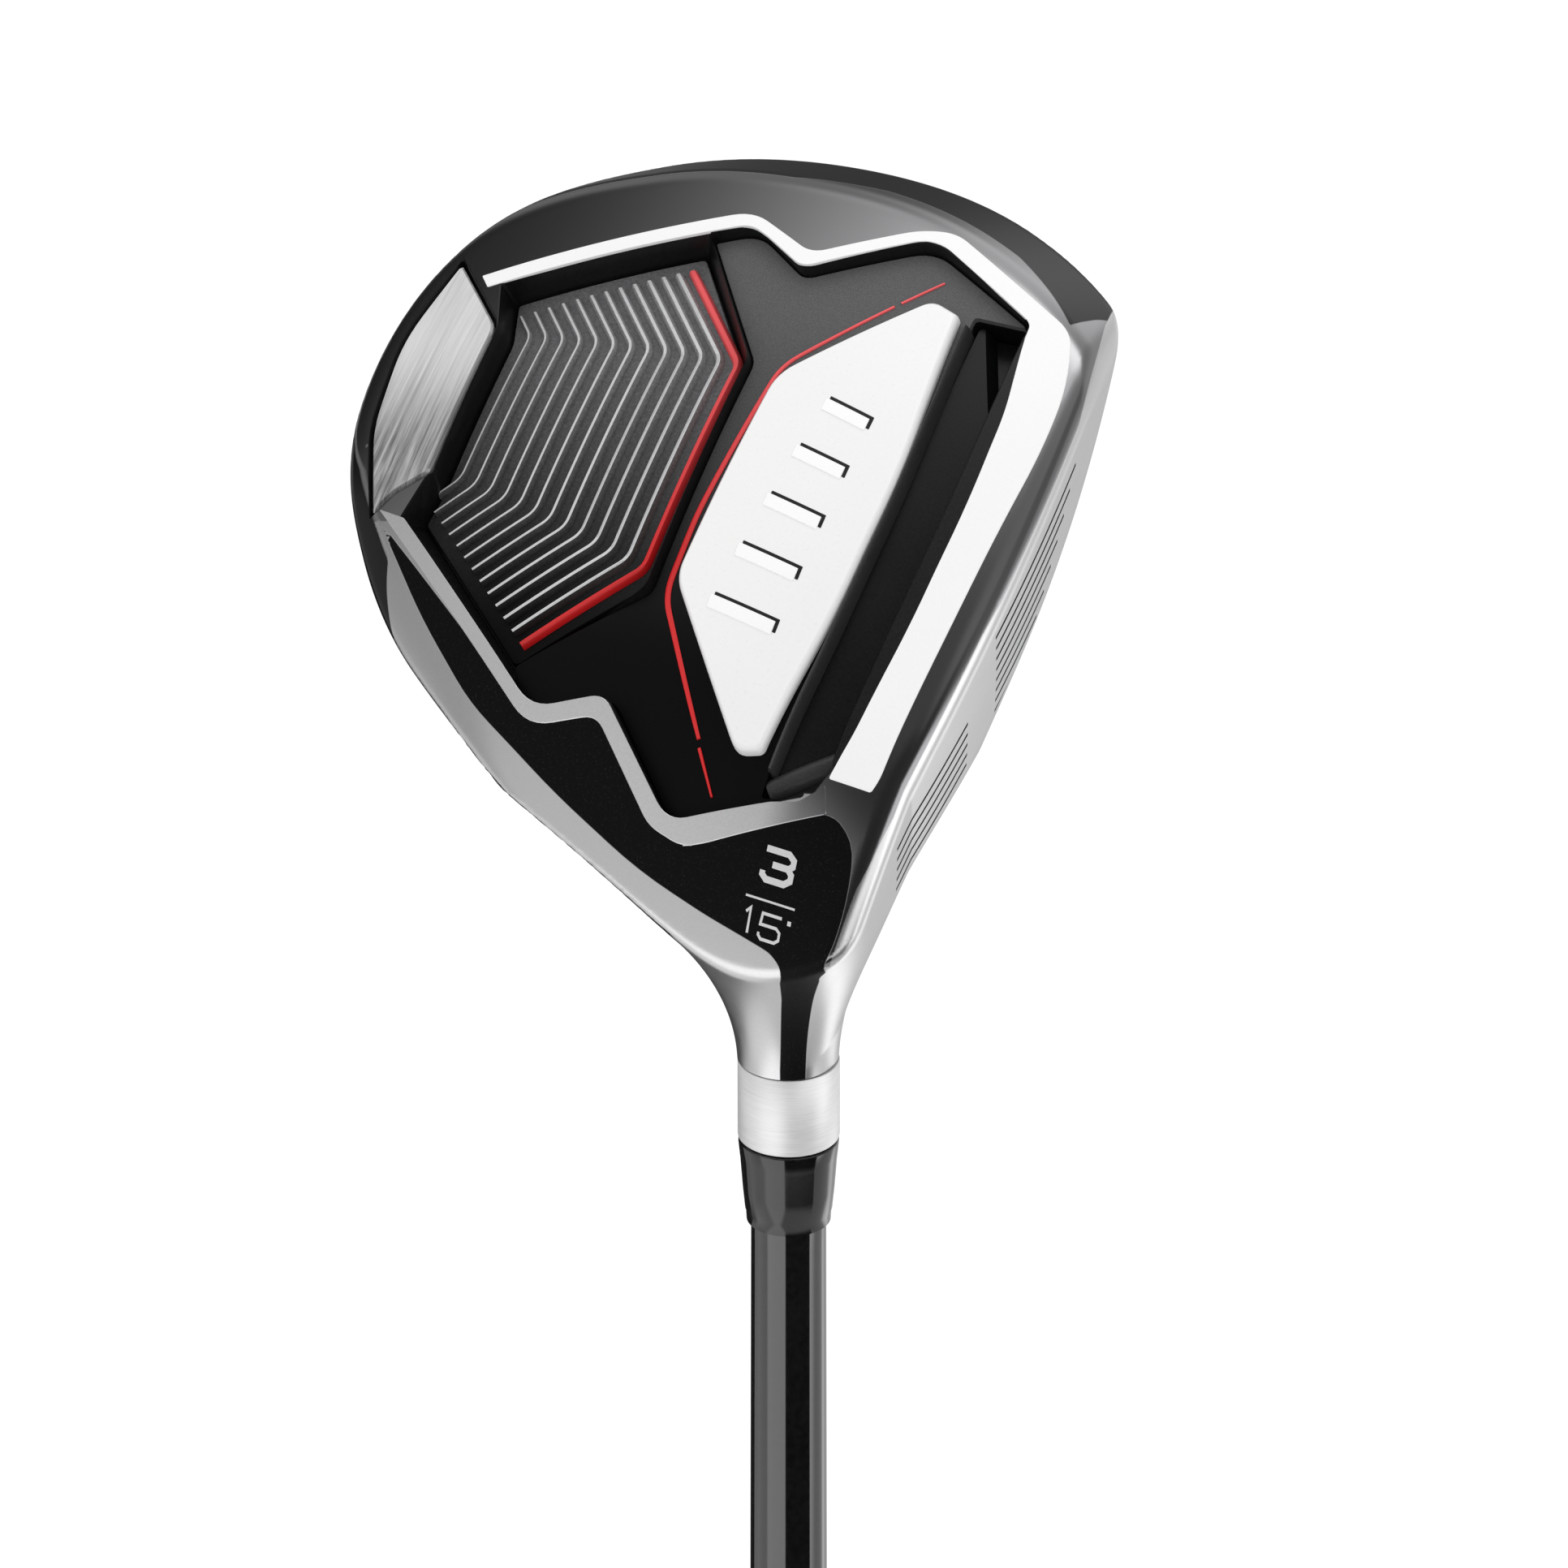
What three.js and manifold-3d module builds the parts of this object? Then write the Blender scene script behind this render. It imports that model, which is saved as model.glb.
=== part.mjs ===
// A 3 wood: hollow steel head, bonded composite shaft and rubber grip, in millimetres.
//
// Two frames are used. The club frame stands the shaft upright with the butt of the grip on z = 0 and
// the head on top. The head frame is the one a fitter uses: the head soled on the ground, +X from
// the face to the rear, +Y from heel to toe, +Z up, and the shaft's axis through the origin.

import * as THREE from 'three';
import { mergeVertices } from 'three/addons/utils/BufferGeometryUtils.js';
import Module from 'manifold-3d';

const wasm = await Module();
wasm.setup();

const degrees = Math.PI / 180;

// ---------------------------------------------------------------- driving dimensions

const LENGTH_TO_GROUND = 1090; // butt of the grip to the point where the shaft's axis meets the ground
const LIE = 58 * degrees;
const LOFT = 15 * degrees;
const GAP = 0.3; // bond line or weld gap between neighbouring pieces

const HOSEL_RADIUS = 6.2;
const HOSEL_TOP = 62; // distances along the shaft's axis are counted from the ground crossing
const COLLAR_BOTTOM = 51.5;
const SPIGOT_BOTTOM = 26;
const SPIGOT_RADIUS = 5.4;
const HOSEL_BORE_RADIUS = 4.8;
const FERRULE_TOP = 73.5;

const SHAFT_TIP_RADIUS = 4.45;
const SHAFT_BUTT_RADIUS = 7.6;
const SHAFT_TIP = 30; // how far up the axis the shaft's tip sits inside the hosel
const SHAFT_WALL = 1.3;
const SHAFT_BUTT_Z = 5;

const GRIP_LENGTH = 268;
const GRIP_MOUTH_RADIUS = 8.6;
const GRIP_BUTT_RADIUS = 13.2;
const CAP_THICKNESS = 3.2;
const VENT_RADIUS = 1.6;

const CROWN_WALL = 1;
const FACE_WALL = 2.2;
const SOLE_WALL = 1.8;
const CROWN_SEAM_HEIGHT = 15;
const CROWN_HOSEL_CLEARANCE = 20; // from the shaft's axis to the crown's cut-out round the hosel
const TOP_LINE_WIDTH = 9; // from the face's foot back to the crown's front seam, square to the face
const CAVITY_TOP = 30; // along the shaft's axis
const ROUND_NECK_START = 42; // along the shaft's axis, where the head's blended skin ends

// Depths below the sole's surface.
const INLAY_DEPTH = 2.1;
const INLAY_THICKNESS = 0.8;
const POCKET_DEPTH = 4.5;
const BADGE_THICKNESS = 0.8;
const RIB_HEIGHT = 0.8;
const SLOT_DEPTH = 3.4;
const SLOT_FLOOR = 7.4;
const PANEL_DEPTH = 0.5;
const PANEL_THICKNESS = 1.3;
const WEIGHT_THICKNESS = 2.5;
const TUB_WALL = 1;
const TUB_START = 0.5;
const CLEAR_BELOW = -6; // well outside the skin

const recessFloor = INLAY_DEPTH + INLAY_THICKNESS + GAP;
const pocketFloor = POCKET_DEPTH + BADGE_THICKNESS + GAP;
const slotFloor = SLOT_FLOOR + GAP;
const weightFloor = WEIGHT_THICKNESS + GAP;

// The ribs of the badge fan out from the front one to the rear one.
const ribs = {
  count: 13,
  x: [27.3, 57.6],
  width: [0.9, 0.35],
  toeBend: 43,
  heelBend: [13.2, 21.6],
  legReach: 17,
};

// The face's score lines are broken between heel and toe; heights are measured up the face.
const scores = {
  count: 8,
  lowest: 10.6,
  pitch: 2.6,
  width: 0.84,
  gap: [9, 17],
  toeEnd: 43,
  toeStagger: 2.2,
  heelEnd: -10,
};

// ---------------------------------------------------------------- the head's outer surface

// Radius of the head's plan outline every 30 degrees, from the rear round through the toe.
const outlineCentre = { x: 28, y: 30 };
const outlineRadii = [49, 52.5, 49.5, 48.5, 51.5, 56.5, 61.5, 62, 54.5, 46.5, 43.5, 44];

const sole = { x: 19, y: 37, radiusX: 150, radiusY: 165, heelStart: 1.5, heelRadius: 70 };
const dome = { x: 5, y: 21.5, top: 38, radiusX: 220, radiusY: 180 };
const crownEdge = { height: 11.5, skirtSlope: 47 * degrees, sideSlope: 46 * degrees };
const face = { x: -20.5, y: 24.5, z: 18, radius: 280, topHeight: 40, heelLimit: 30 };
const neck = { flareTop: 52.5, flareLength: 32.5, flareRadius: 23.5, foot: 12, top: 57 };
const blend = { crown: 16, crownEdge: 1.6, neck: 14, soleEdge: 1.2, face: 3.2 };

function smoothMax(a, b, width) {
  const overlap = Math.max(width - Math.abs(a - b), 0) / width;
  return Math.max(a, b) + (overlap * overlap * width) / 4;
}

const smoothMin = (a, b, width) => -smoothMax(-a, -b, width);

// Signed distance, near enough, from the plan outline: a closed Catmull-Rom curve in polar form.
function outlineDistance(x, y) {
  const dx = x - outlineCentre.x;
  const dy = y - outlineCentre.y;
  const count = outlineRadii.length;
  const turn = (((Math.atan2(dy, dx) / (2 * Math.PI)) * count) % count + count) % count;
  const index = Math.floor(turn);
  const t = turn - index;
  const at = (offset) => outlineRadii[(index + offset + count) % count];
  const [before, start, end, after] = [at(-1), at(0), at(1), at(2)];
  const a = (-before + 3 * start - 3 * end + after) / 2;
  const b = (2 * before - 5 * start + 4 * end - after) / 2;
  const c = (end - before) / 2;
  const radius = ((a * t + b) * t + c) * t + start;
  const slope = (((3 * a * t + 2 * b) * t + c) * count) / (2 * Math.PI);
  return (Math.hypot(dx, dy) - radius) / Math.hypot(1, slope / radius);
}

function soleHeight(x, y) {
  const heel = Math.max(sole.heelStart - y, 0);
  const roll = (x - sole.x) ** 2 / (2 * sole.radiusX) + (y - sole.y) ** 2 / (2 * sole.radiusY);
  return roll + heel ** 2 / (2 * sole.heelRadius);
}

function soleDistance(x, y, z) {
  const heel = Math.max(sole.heelStart - y, 0);
  const slopeX = (x - sole.x) / sole.radiusX;
  const slopeY = (y - sole.y) / sole.radiusY - heel / sole.heelRadius;
  return (soleHeight(x, y) - z) / Math.hypot(1, slopeX, slopeY);
}

function domeDistance(x, y, z) {
  const slopeX = (x - dome.x) / dome.radiusX;
  const slopeY = (y - dome.y) / dome.radiusY;
  const height = dome.top - ((x - dome.x) * slopeX + (y - dome.y) * slopeY) / 2;
  return (z - height) / Math.hypot(1, slopeX, slopeY);
}

// The face's x at a height, with bulge from heel to toe and roll from sole to crown.
function faceX(y, z) {
  const height = Math.min(z, face.topHeight);
  const across = Math.max(y - face.y, -face.heelLimit);
  const sag = (across ** 2 + (height - face.z) ** 2) / (2 * face.radius);
  return face.x + height * Math.tan(LOFT) + sag;
}

const faceDistance = (x, y, z) => (faceX(y, z) - x) * Math.cos(LOFT);

// Distance along the shaft's axis from the ground, and away from it.
function axisPlace(x, y, z) {
  const along = -y * Math.cos(LIE) + z * Math.sin(LIE);
  const across = Math.hypot(x, y + along * Math.cos(LIE), z - along * Math.sin(LIE));
  return { along, across };
}

function neckDistance(x, y, z) {
  const { along, across } = axisPlace(x, y, z);
  const down = Math.min(Math.max(neck.flareTop - along, 0), neck.flareLength);
  const radius = HOSEL_RADIUS + down ** 2 / (2 * neck.flareRadius);
  const side = (across - radius) / Math.hypot(1, down / neck.flareRadius);
  return Math.max(side, neck.foot - along, along - neck.top);
}

// Negative inside the head, zero on its skin.
function headDistance(x, y, z) {
  const outline = outlineDistance(x, y);
  const rise = z - crownEdge.height;
  const skirt = (outline - rise * Math.tan(crownEdge.skirtSlope)) * Math.cos(crownEdge.skirtSlope);
  const side = (outline + rise * Math.tan(crownEdge.sideSlope)) * Math.cos(crownEdge.sideSlope);
  const crown = smoothMax(domeDistance(x, y, z), side, blend.crown);
  const bowl = smoothMax(crown, skirt, blend.crownEdge);
  const withNeck = smoothMin(bowl, neckDistance(x, y, z), blend.neck);
  const soled = smoothMax(withNeck, soleDistance(x, y, z), blend.soleEdge);
  return smoothMax(soled, faceDistance(x, y, z), blend.face);
}

// The room inside the cast walls, closed off below the hosel.
function cavityDistance(x, y, z) {
  const walls = Math.max(
    headDistance(x, y, z) + CROWN_WALL,
    soleDistance(x, y, z) + SOLE_WALL,
    faceDistance(x, y, z) + FACE_WALL,
  );
  return Math.max(walls, axisPlace(x, y, z).along - CAVITY_TOP);
}

// ---------------------------------------------------------------- solids

function solidOf(geometry) {
  const bare = geometry.clone();
  bare.deleteAttribute('normal');
  bare.deleteAttribute('uv');
  const merged = mergeVertices(bare, 1e-4);
  return new wasm.Manifold(
    new wasm.Mesh({
      numProp: 3,
      vertProperties: new Float32Array(merged.attributes.position.array),
      triVerts: new Uint32Array(merged.index.array),
    }),
  );
}

// Cuts that share a face leave films of no thickness, which are dropped here.
function largestBody(solid) {
  return solid.decompose().reduce((best, body) => (body.volume() > best.volume() ? body : best));
}

function geometryOf(solid) {
  const mesh = solid.getMesh();
  const positions = new Float32Array(mesh.numVert * 3);
  for (let i = 0; i < mesh.numVert; i += 1) {
    const start = i * mesh.numProp;
    positions.set(mesh.vertProperties.subarray(start, start + 3), i * 3);
  }
  const geometry = new THREE.BufferGeometry();
  geometry.setAttribute('position', new THREE.BufferAttribute(positions, 3));
  geometry.setIndex(new THREE.BufferAttribute(mesh.triVerts, 1));
  geometry.computeVertexNormals();
  return geometry;
}

// Closed mesh of the surface where a distance function is zero, by dual contouring on a cubic grid:
// one vertex in each cell that the surface crosses, and one square for each grid edge it crosses.
function contoured(distance, low, high, step) {
  const counts = low.map((value, i) => Math.ceil((high[i] - value) / step) + 1);
  const sampleIndex = (i, j, k) => (k * counts[1] + j) * counts[0] + i;
  const place = (node) => node.map((value, axis) => low[axis] + value * step);
  const eachNode = (margin, visit) => {
    for (let k = 0; k < counts[2] - margin; k += 1) {
      for (let j = 0; j < counts[1] - margin; j += 1) {
        for (let i = 0; i < counts[0] - margin; i += 1) visit([i, j, k]);
      }
    }
  };
  const samples = new Float64Array(counts[0] * counts[1] * counts[2]);
  eachNode(0, (node) => {
    samples[sampleIndex(...node)] = distance(...place(node));
  });
  const isInside = (node) => samples[sampleIndex(...node)] < 0;
  const positions = [];
  const vertexOf = new Map();
  eachNode(1, (cell) => {
    const crossings = cellEdges(cell)
      .filter(([start, end]) => isInside(start) !== isInside(end))
      .map(([start, end]) => crossingPoint(distance, place(start), place(end)));
    if (!crossings.length) return;
    vertexOf.set(sampleIndex(...cell), positions.length / 3);
    positions.push(...ontoSurface(distance, creasePoint(distance, crossings, place(cell), step)));
  });
  const indices = [];
  eachNode(1, (cell) => {
    for (let axis = 0; axis < 3; axis += 1) {
      const far = [...cell];
      far[axis] += 1;
      if (isInside(cell) === isInside(far)) continue;
      const b = (axis + 1) % 3;
      const c = (axis + 2) % 3;
      const ring = [[1, 1], [0, 1], [0, 0], [1, 0]].map(([backB, backC]) => {
        const around = [...cell];
        around[b] -= backB;
        around[c] -= backC;
        return vertexOf.get(sampleIndex(...around));
      });
      if (!isInside(cell)) ring.reverse();
      indices.push(ring[0], ring[1], ring[2], ring[0], ring[2], ring[3]);
    }
  });
  const geometry = new THREE.BufferGeometry();
  geometry.setAttribute('position', new THREE.Float32BufferAttribute(positions, 3));
  geometry.setIndex(indices);
  return solidOf(geometry);
}

// The twelve edges of a cell as pairs of grid nodes.
function cellEdges(cell) {
  const edges = [];
  for (let axis = 0; axis < 3; axis += 1) {
    for (const [stepB, stepC] of [[0, 0], [1, 0], [0, 1], [1, 1]]) {
      const start = [...cell];
      start[(axis + 1) % 3] += stepB;
      start[(axis + 2) % 3] += stepC;
      const end = [...start];
      end[axis] += 1;
      edges.push([start, end]);
    }
  }
  return edges;
}

// Where the surface crosses the line between two points, by halving.
function crossingPoint(distance, start, end) {
  const startsInside = distance(...start) < 0;
  let [near, far] = [0, 1];
  const at = (share) => start.map((value, axis) => value + (end[axis] - value) * share);
  for (let round = 0; round < 12; round += 1) {
    const middle = (near + far) / 2;
    if (distance(...at(middle)) < 0 === startsInside) near = middle;
    else far = middle;
  }
  return at((near + far) / 2);
}

function slopesAt(distance, point) {
  const nudge = 0.02;
  return point.map((_, axis) => {
    const ahead = [...point];
    const behind = [...point];
    ahead[axis] += nudge;
    behind[axis] -= nudge;
    return (distance(...ahead) - distance(...behind)) / (2 * nudge);
  });
}

function normalAt(distance, point) {
  const slopes = slopesAt(distance, point);
  const length = Math.hypot(...slopes);
  return slopes.map((slope) => slope / length);
}

// The point moved along the slope until the distance is zero.
function ontoSurface(distance, point) {
  let moved = point;
  for (let round = 0; round < 4; round += 1) {
    const slopes = slopesAt(distance, moved);
    const share = distance(...moved) / slopes.reduce((sum, slope) => sum + slope * slope, 0);
    moved = moved.map((value, axis) => value - slopes[axis] * share);
  }
  return moved;
}

// The point of a cell nearest to the tangent planes at its crossings, so that creases stay sharp.
function creasePoint(distance, crossings, cellLow, step) {
  const planes = crossings.map((point) => ({ point, normal: normalAt(distance, point) }));
  const mean = (axis) => crossings.reduce((sum, point) => sum + point[axis], 0) / crossings.length;
  let vertex = [mean(0), mean(1), mean(2)];
  for (let round = 0; round < 40; round += 1) {
    const shift = [0, 0, 0];
    for (const { point, normal } of planes) {
      const error = normal.reduce((sum, n, axis) => sum + n * (vertex[axis] - point[axis]), 0);
      normal.forEach((n, axis) => (shift[axis] -= (n * error) / planes.length));
    }
    vertex = vertex.map((value, axis) => {
      const moved = value + shift[axis];
      return Math.min(Math.max(moved, cellLow[axis]), cellLow[axis] + step);
    });
  }
  return vertex;
}

// A closed outline from corners [x, y, rounding], each rounded by a quadratic curve.
function roundedShape(corners) {
  const shape = new THREE.Shape();
  const count = corners.length;
  corners.forEach(([x, y, rounding = 0], i) => {
    const corner = new THREE.Vector2(x, y);
    const towards = (other) => {
      const target = new THREE.Vector2(corners[other][0], corners[other][1]);
      return target.sub(corner).setLength(rounding).add(corner);
    };
    const from = towards((i + count - 1) % count);
    if (i === 0) shape.moveTo(from.x, from.y);
    else shape.lineTo(from.x, from.y);
    if (rounding > 0) {
      const to = towards((i + 1) % count);
      shape.quadraticCurveTo(x, y, to.x, to.y);
    }
  });
  shape.closePath();
  return shape;
}

// The same outline moved outwards by a margin, or inwards by a negative one.
function grownCorners(corners, margin) {
  const count = corners.length;
  const area = corners.reduce((sum, [x, y], i) => {
    const [nextX, nextY] = corners[(i + 1) % count];
    return sum + x * nextY - nextX * y;
  }, 0);
  const outward = Math.sign(area) * margin;
  return corners.map(([x, y, rounding = 0], i) => {
    const [lastX, lastY] = corners[(i + count - 1) % count];
    const [nextX, nextY] = corners[(i + 1) % count];
    const before = new THREE.Vector2(x - lastX, y - lastY).normalize();
    const after = new THREE.Vector2(nextX - x, nextY - y).normalize();
    const normal = new THREE.Vector2(before.y + after.y, -before.x - after.x).normalize();
    const reach = outward / Math.max(normal.x * before.y - normal.y * before.x, 0.4);
    return [x + normal.x * reach, y + normal.y * reach, rounding];
  });
}

// An upright column with a plan outline, from below the sole to above the crown.
function column(corners, margin = 0, low = -8, high = 60) {
  const shape = roundedShape(margin ? grownCorners(corners, margin) : corners);
  const geometry = new THREE.ExtrudeGeometry(shape, {
    depth: high - low,
    bevelEnabled: false,
    curveSegments: 4,
  });
  return solidOf(geometry.translate(0, 0, low));
}

// A closed slab between two depths below the sole's surface, which follows the sole's camber.
function soleLayer(shallow, deep, step = 7) {
  const [startX, startY, width, length] = [-24, -26, 102, 98];
  const [countX, countY] = [Math.ceil(width / step), Math.ceil(length / step)];
  const geometry = new THREE.BoxGeometry(width, length, 1, countX, countY, 1);
  const position = geometry.attributes.position;
  for (let i = 0; i < position.count; i += 1) {
    const x = position.getX(i) + startX + width / 2;
    const y = position.getY(i) + startY + length / 2;
    const depth = position.getZ(i) > 0 ? deep : shallow;
    position.setXYZ(i, x, y, soleHeight(x, y) + depth);
  }
  return solidOf(geometry);
}

const plate = (corners, shallow, deep, margin = 0) =>
  column(corners, margin).intersect(soleLayer(shallow, deep));

// A solid of revolution about +Z from [radius, z] pairs that close on themselves.
function turned(profile, segments = 32) {
  const points = [...profile, profile[0]].map(([radius, z]) => new THREE.Vector2(radius, z));
  const geometry = new THREE.LatheGeometry(points, segments);
  return geometry.rotateX(Math.PI / 2);
}

const alongAxis = new THREE.Matrix4().makeRotationX(90 * degrees - LIE);

// A cylinder about the shaft's axis in the head frame, between two distances from the ground.
function axisCylinder(radius, low, high, segments = 40) {
  const geometry = new THREE.CylinderGeometry(radius, radius, high - low, segments);
  geometry.rotateX(Math.PI / 2).translate(0, 0, (low + high) / 2);
  return solidOf(geometry.applyMatrix4(alongAxis));
}

// The top of the neck, which is round and flares down into the head's blended skin.
function flaredNeck() {
  const steps = 5;
  const outer = Array.from({ length: steps + 1 }, (_, i) => {
    const along = THREE.MathUtils.lerp(ROUND_NECK_START, neck.flareTop, i / steps);
    return [HOSEL_RADIUS + (neck.flareTop - along) ** 2 / (2 * neck.flareRadius), along];
  });
  const profile = [[0, ROUND_NECK_START], ...outer, [0, neck.flareTop]];
  return solidOf(turned(profile, 40).applyMatrix4(alongAxis));
}

// ---------------------------------------------------------------- outlines on the sole

const weightOutline = [
  [71.5, 51.5, 0.5],
  [61.2, 41.8, 1.6],
  [60.6, 20, 0.6],
  [64.5, 17, 0.4],
  [66.4, 14, 0.4],
  [72.2, 26],
  [74.2, 39],
];

// The dark panel's recess, from the ribbed pocket round the toe lobe, the slot and the heel lobe.
const recessOutline = [
  [38.4, 59.3],
  [32.6, 61.9, 2.6],
  [23.8, 56.4, 1.4],
  [10, 65, 3],
  [-5.8, 57.5],
  [-4, 48],
  [-4, 0],
  [-3.6, -10.2],
  [11.8, -17.2, 3],
  [23.9, -5, 1.5],
  [33.3, -8.6, 2.6],
  [37.6, -5.2],
  [39, -2.8, 0.6],
  [24.3, 9.4, 1.2],
  [24.6, 42.2, 1.2],
];

const pocketOutline = [
  [61.2, 49.4],
  [38.4, 59.3, 0.6],
  [24.6, 42.2, 1.2],
  [24.3, 9.4, 1.2],
  [39, -2.8, 0.6],
  [60.4, 13.6],
  [59.8, 20],
  [60.2, 42],
];

// The ribs end along this outline.
const ribbedOutline = [
  [61, 45.8],
  [39.4, 55.8],
  [26, 43],
  [26, 13],
  [38.8, 0.2],
  [60, 17.2],
];

const slotOutline = [
  [0.6, 56.2, 0.6],
  [-6.2, 56.8, 0.8],
  [-8.6, 28],
  [-6.2, -5.6, 0.4],
  [-4.6, -9.2, 0.4],
  [1.6, -10.6, 0.6],
  [-0.8, 28],
];

const panelOutline = [
  [2.2, 55.4, 0.5],
  [6.2, 56.6, 1.4],
  [20.2, 40.8, 2.4],
  [21.3, 11.4, 2],
  [6.2, -7.4, 1.6],
  [3, -6.4, 0.6],
  [0.2, 12],
  [-0.4, 32],
];

// Outline points are [y, height up the face].
const faceOutline = [
  [49, 9.5, 5],
  [34, 26.5, 9],
  [6, 31, 6],
  [-15, 29, 4],
  [-15, 21, 3],
  [-4, 14, 5],
  [14, 10, 5],
];

// ---------------------------------------------------------------- the head's pieces

// The walls that back the sole's recess, pocket and slot, so that the shell stays closed behind them.
function soleTubs() {
  return plate(recessOutline, TUB_START, recessFloor + TUB_WALL, TUB_WALL)
    .add(plate(pocketOutline, TUB_START, pocketFloor + TUB_WALL, TUB_WALL))
    .add(plate(slotOutline, TUB_START, slotFloor + TUB_WALL, TUB_WALL))
    .add(plate(weightOutline, TUB_START, weightFloor + TUB_WALL, TUB_WALL));
}

// Everything above the crown seam, behind the top line and clear of the hosel.
function crownRegion(margin) {
  const size = 160;
  const above = new THREE.BoxGeometry(size, size, size);
  above.translate(outlineCentre.x, outlineCentre.y, CROWN_SEAM_HEIGHT - margin + size / 2);
  const front = new THREE.BoxGeometry(size, size, size);
  front.translate(-size / 2, outlineCentre.y, 0);
  front.applyMatrix4(new THREE.Matrix4().makeRotationY(LOFT));
  front.translate(face.x + TOP_LINE_WIDTH - margin, 0, 0);
  return solidOf(above)
    .subtract(solidOf(front))
    .subtract(axisCylinder(CROWN_HOSEL_CLEARANCE - margin, -10, 80));
}

// A plug through the face, square to the loft.
function facePlug(margin) {
  const shape = roundedShape(grownCorners(faceOutline, margin));
  const geometry = new THREE.ExtrudeGeometry(shape, {
    depth: 12,
    bevelEnabled: false,
    curveSegments: 4,
  });
  const upright = new THREE.Matrix4().makeBasis(
    new THREE.Vector3(0, 1, 0),
    new THREE.Vector3(Math.sin(LOFT), 0, Math.cos(LOFT)),
    new THREE.Vector3(Math.cos(LOFT), 0, -Math.sin(LOFT)),
  );
  geometry.translate(0, 0, -5).applyMatrix4(upright);
  return solidOf(geometry.translate(face.x, 0, 0));
}

// One groove, which follows the face's bulge between two y values.
function scoreGroove(height, startY, endY) {
  const half = scores.width / 2;
  const section = new THREE.Shape();
  section.moveTo(-half, -half).lineTo(half, -half).lineTo(half, half).lineTo(-half, half).closePath();
  const z = height * Math.cos(LOFT);
  const points = [startY, (startY + endY) / 2, endY].map((y) => new THREE.Vector3(faceX(y, z), y, z));
  const path = new THREE.QuadraticBezierCurve3(...points);
  return solidOf(new THREE.ExtrudeGeometry(section, { steps: 4, extrudePath: path }));
}

function scoredFace(shell) {
  let made = shell.intersect(facePlug(0));
  const [gapStart, gapEnd] = scores.gap;
  for (let line = 0; line < scores.count; line += 1) {
    const height = scores.lowest + line * scores.pitch;
    const toeEnd = scores.toeEnd - line * scores.toeStagger;
    made = made.subtract(scoreGroove(height, gapEnd, toeEnd));
    if (line > 2) made = made.subtract(scoreGroove(height, scores.heelEnd, gapStart));
  }
  return made;
}

// One rib: a straight run from heel to toe between two legs that bend to the rear.
function ribOutline(across) {
  const x = THREE.MathUtils.lerp(...ribs.x, across);
  const width = THREE.MathUtils.lerp(...ribs.width, across);
  const heelBend = THREE.MathUtils.lerp(...ribs.heelBend, across);
  const end = x + ribs.legReach;
  return [
    [end, ribs.toeBend + ribs.legReach],
    [x, ribs.toeBend],
    [x, heelBend],
    [end, heelBend - ribs.legReach],
    [end + width, heelBend - ribs.legReach],
    [x + width, heelBend + width / 3],
    [x + width, ribs.toeBend - width / 3],
    [end + width, ribs.toeBend + ribs.legReach],
  ];
}

function ribbedBadge() {
  let made = plate(pocketOutline, POCKET_DEPTH, POCKET_DEPTH + BADGE_THICKNESS);
  const inside = column(ribbedOutline).intersect(column(pocketOutline));
  for (let rib = 0; rib < ribs.count; rib += 1) {
    const outline = ribOutline(rib / (ribs.count - 1));
    const bar = plate(outline, POCKET_DEPTH - RIB_HEIGHT, POCKET_DEPTH + BADGE_THICKNESS / 2);
    made = made.add(bar.intersect(inside));
  }
  return made;
}

// The dark panel on the recess floor, cut round the slot.
function soleInlay() {
  return plate(recessOutline, INLAY_DEPTH, INLAY_DEPTH + INLAY_THICKNESS, -GAP)
    .subtract(column(slotOutline, GAP));
}

// The polymer insert of the sole slot, with a channel along its length.
function slotInsert() {
  const block = plate(slotOutline, SLOT_DEPTH, SLOT_FLOOR, 0);
  const channel = plate(grownCorners(slotOutline, -1.6), 0, SLOT_DEPTH + 1.2);
  return block.subtract(channel);
}

// A drop of glue on the inside of the sole, over the slot side of the recess.
function hotMeltPad() {
  const drop = new THREE.SphereGeometry(1, 20, 10).scale(8, 11, 4).translate(12, 42, 4);
  return solidOf(drop).intersect(soleLayer(recessFloor + TUB_WALL + GAP, 20));
}

function headPieces() {
  const [low, high] = [[-25, -44, -3], [82, 87, 55]];
  const blended = contoured(headDistance, low, high, 4);
  const skin = blended.subtract(axisCylinder(40, ROUND_NECK_START + GAP, 100)).add(flaredNeck());
  const shell = skin.subtract(contoured(cavityDistance, low, high, 4.6));
  const casting = shell
    .add(soleTubs().intersect(skin))
    .subtract(plate(recessOutline, CLEAR_BELOW, recessFloor))
    .subtract(plate(pocketOutline, CLEAR_BELOW, pocketFloor, GAP))
    .subtract(plate(slotOutline, CLEAR_BELOW, slotFloor, GAP))
    .subtract(plate(weightOutline, CLEAR_BELOW, weightFloor, GAP))
    .subtract(crownRegion(GAP))
    .subtract(facePlug(GAP))
    .subtract(axisCylinder(SPIGOT_RADIUS + GAP, SPIGOT_BOTTOM - 2, 70))
    .subtract(axisCylinder(30, COLLAR_BOTTOM - GAP, 100));
  return {
    head_body: largestBody(casting),
    crown: largestBody(shell.intersect(crownRegion(0))),
    face_plate: scoredFace(shell),
    rear_weight: plate(weightOutline, CLEAR_BELOW, WEIGHT_THICKNESS).intersect(skin),
    slot_insert: slotInsert(),
    sole_inlay: soleInlay(),
    ribbed_badge: ribbedBadge(),
    centre_badge: plate(panelOutline, PANEL_DEPTH, PANEL_DEPTH + PANEL_THICKNESS),
    hot_melt_pad: hotMeltPad(),
  };
}

// ---------------------------------------------------------------- shaft, hosel and grip

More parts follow.
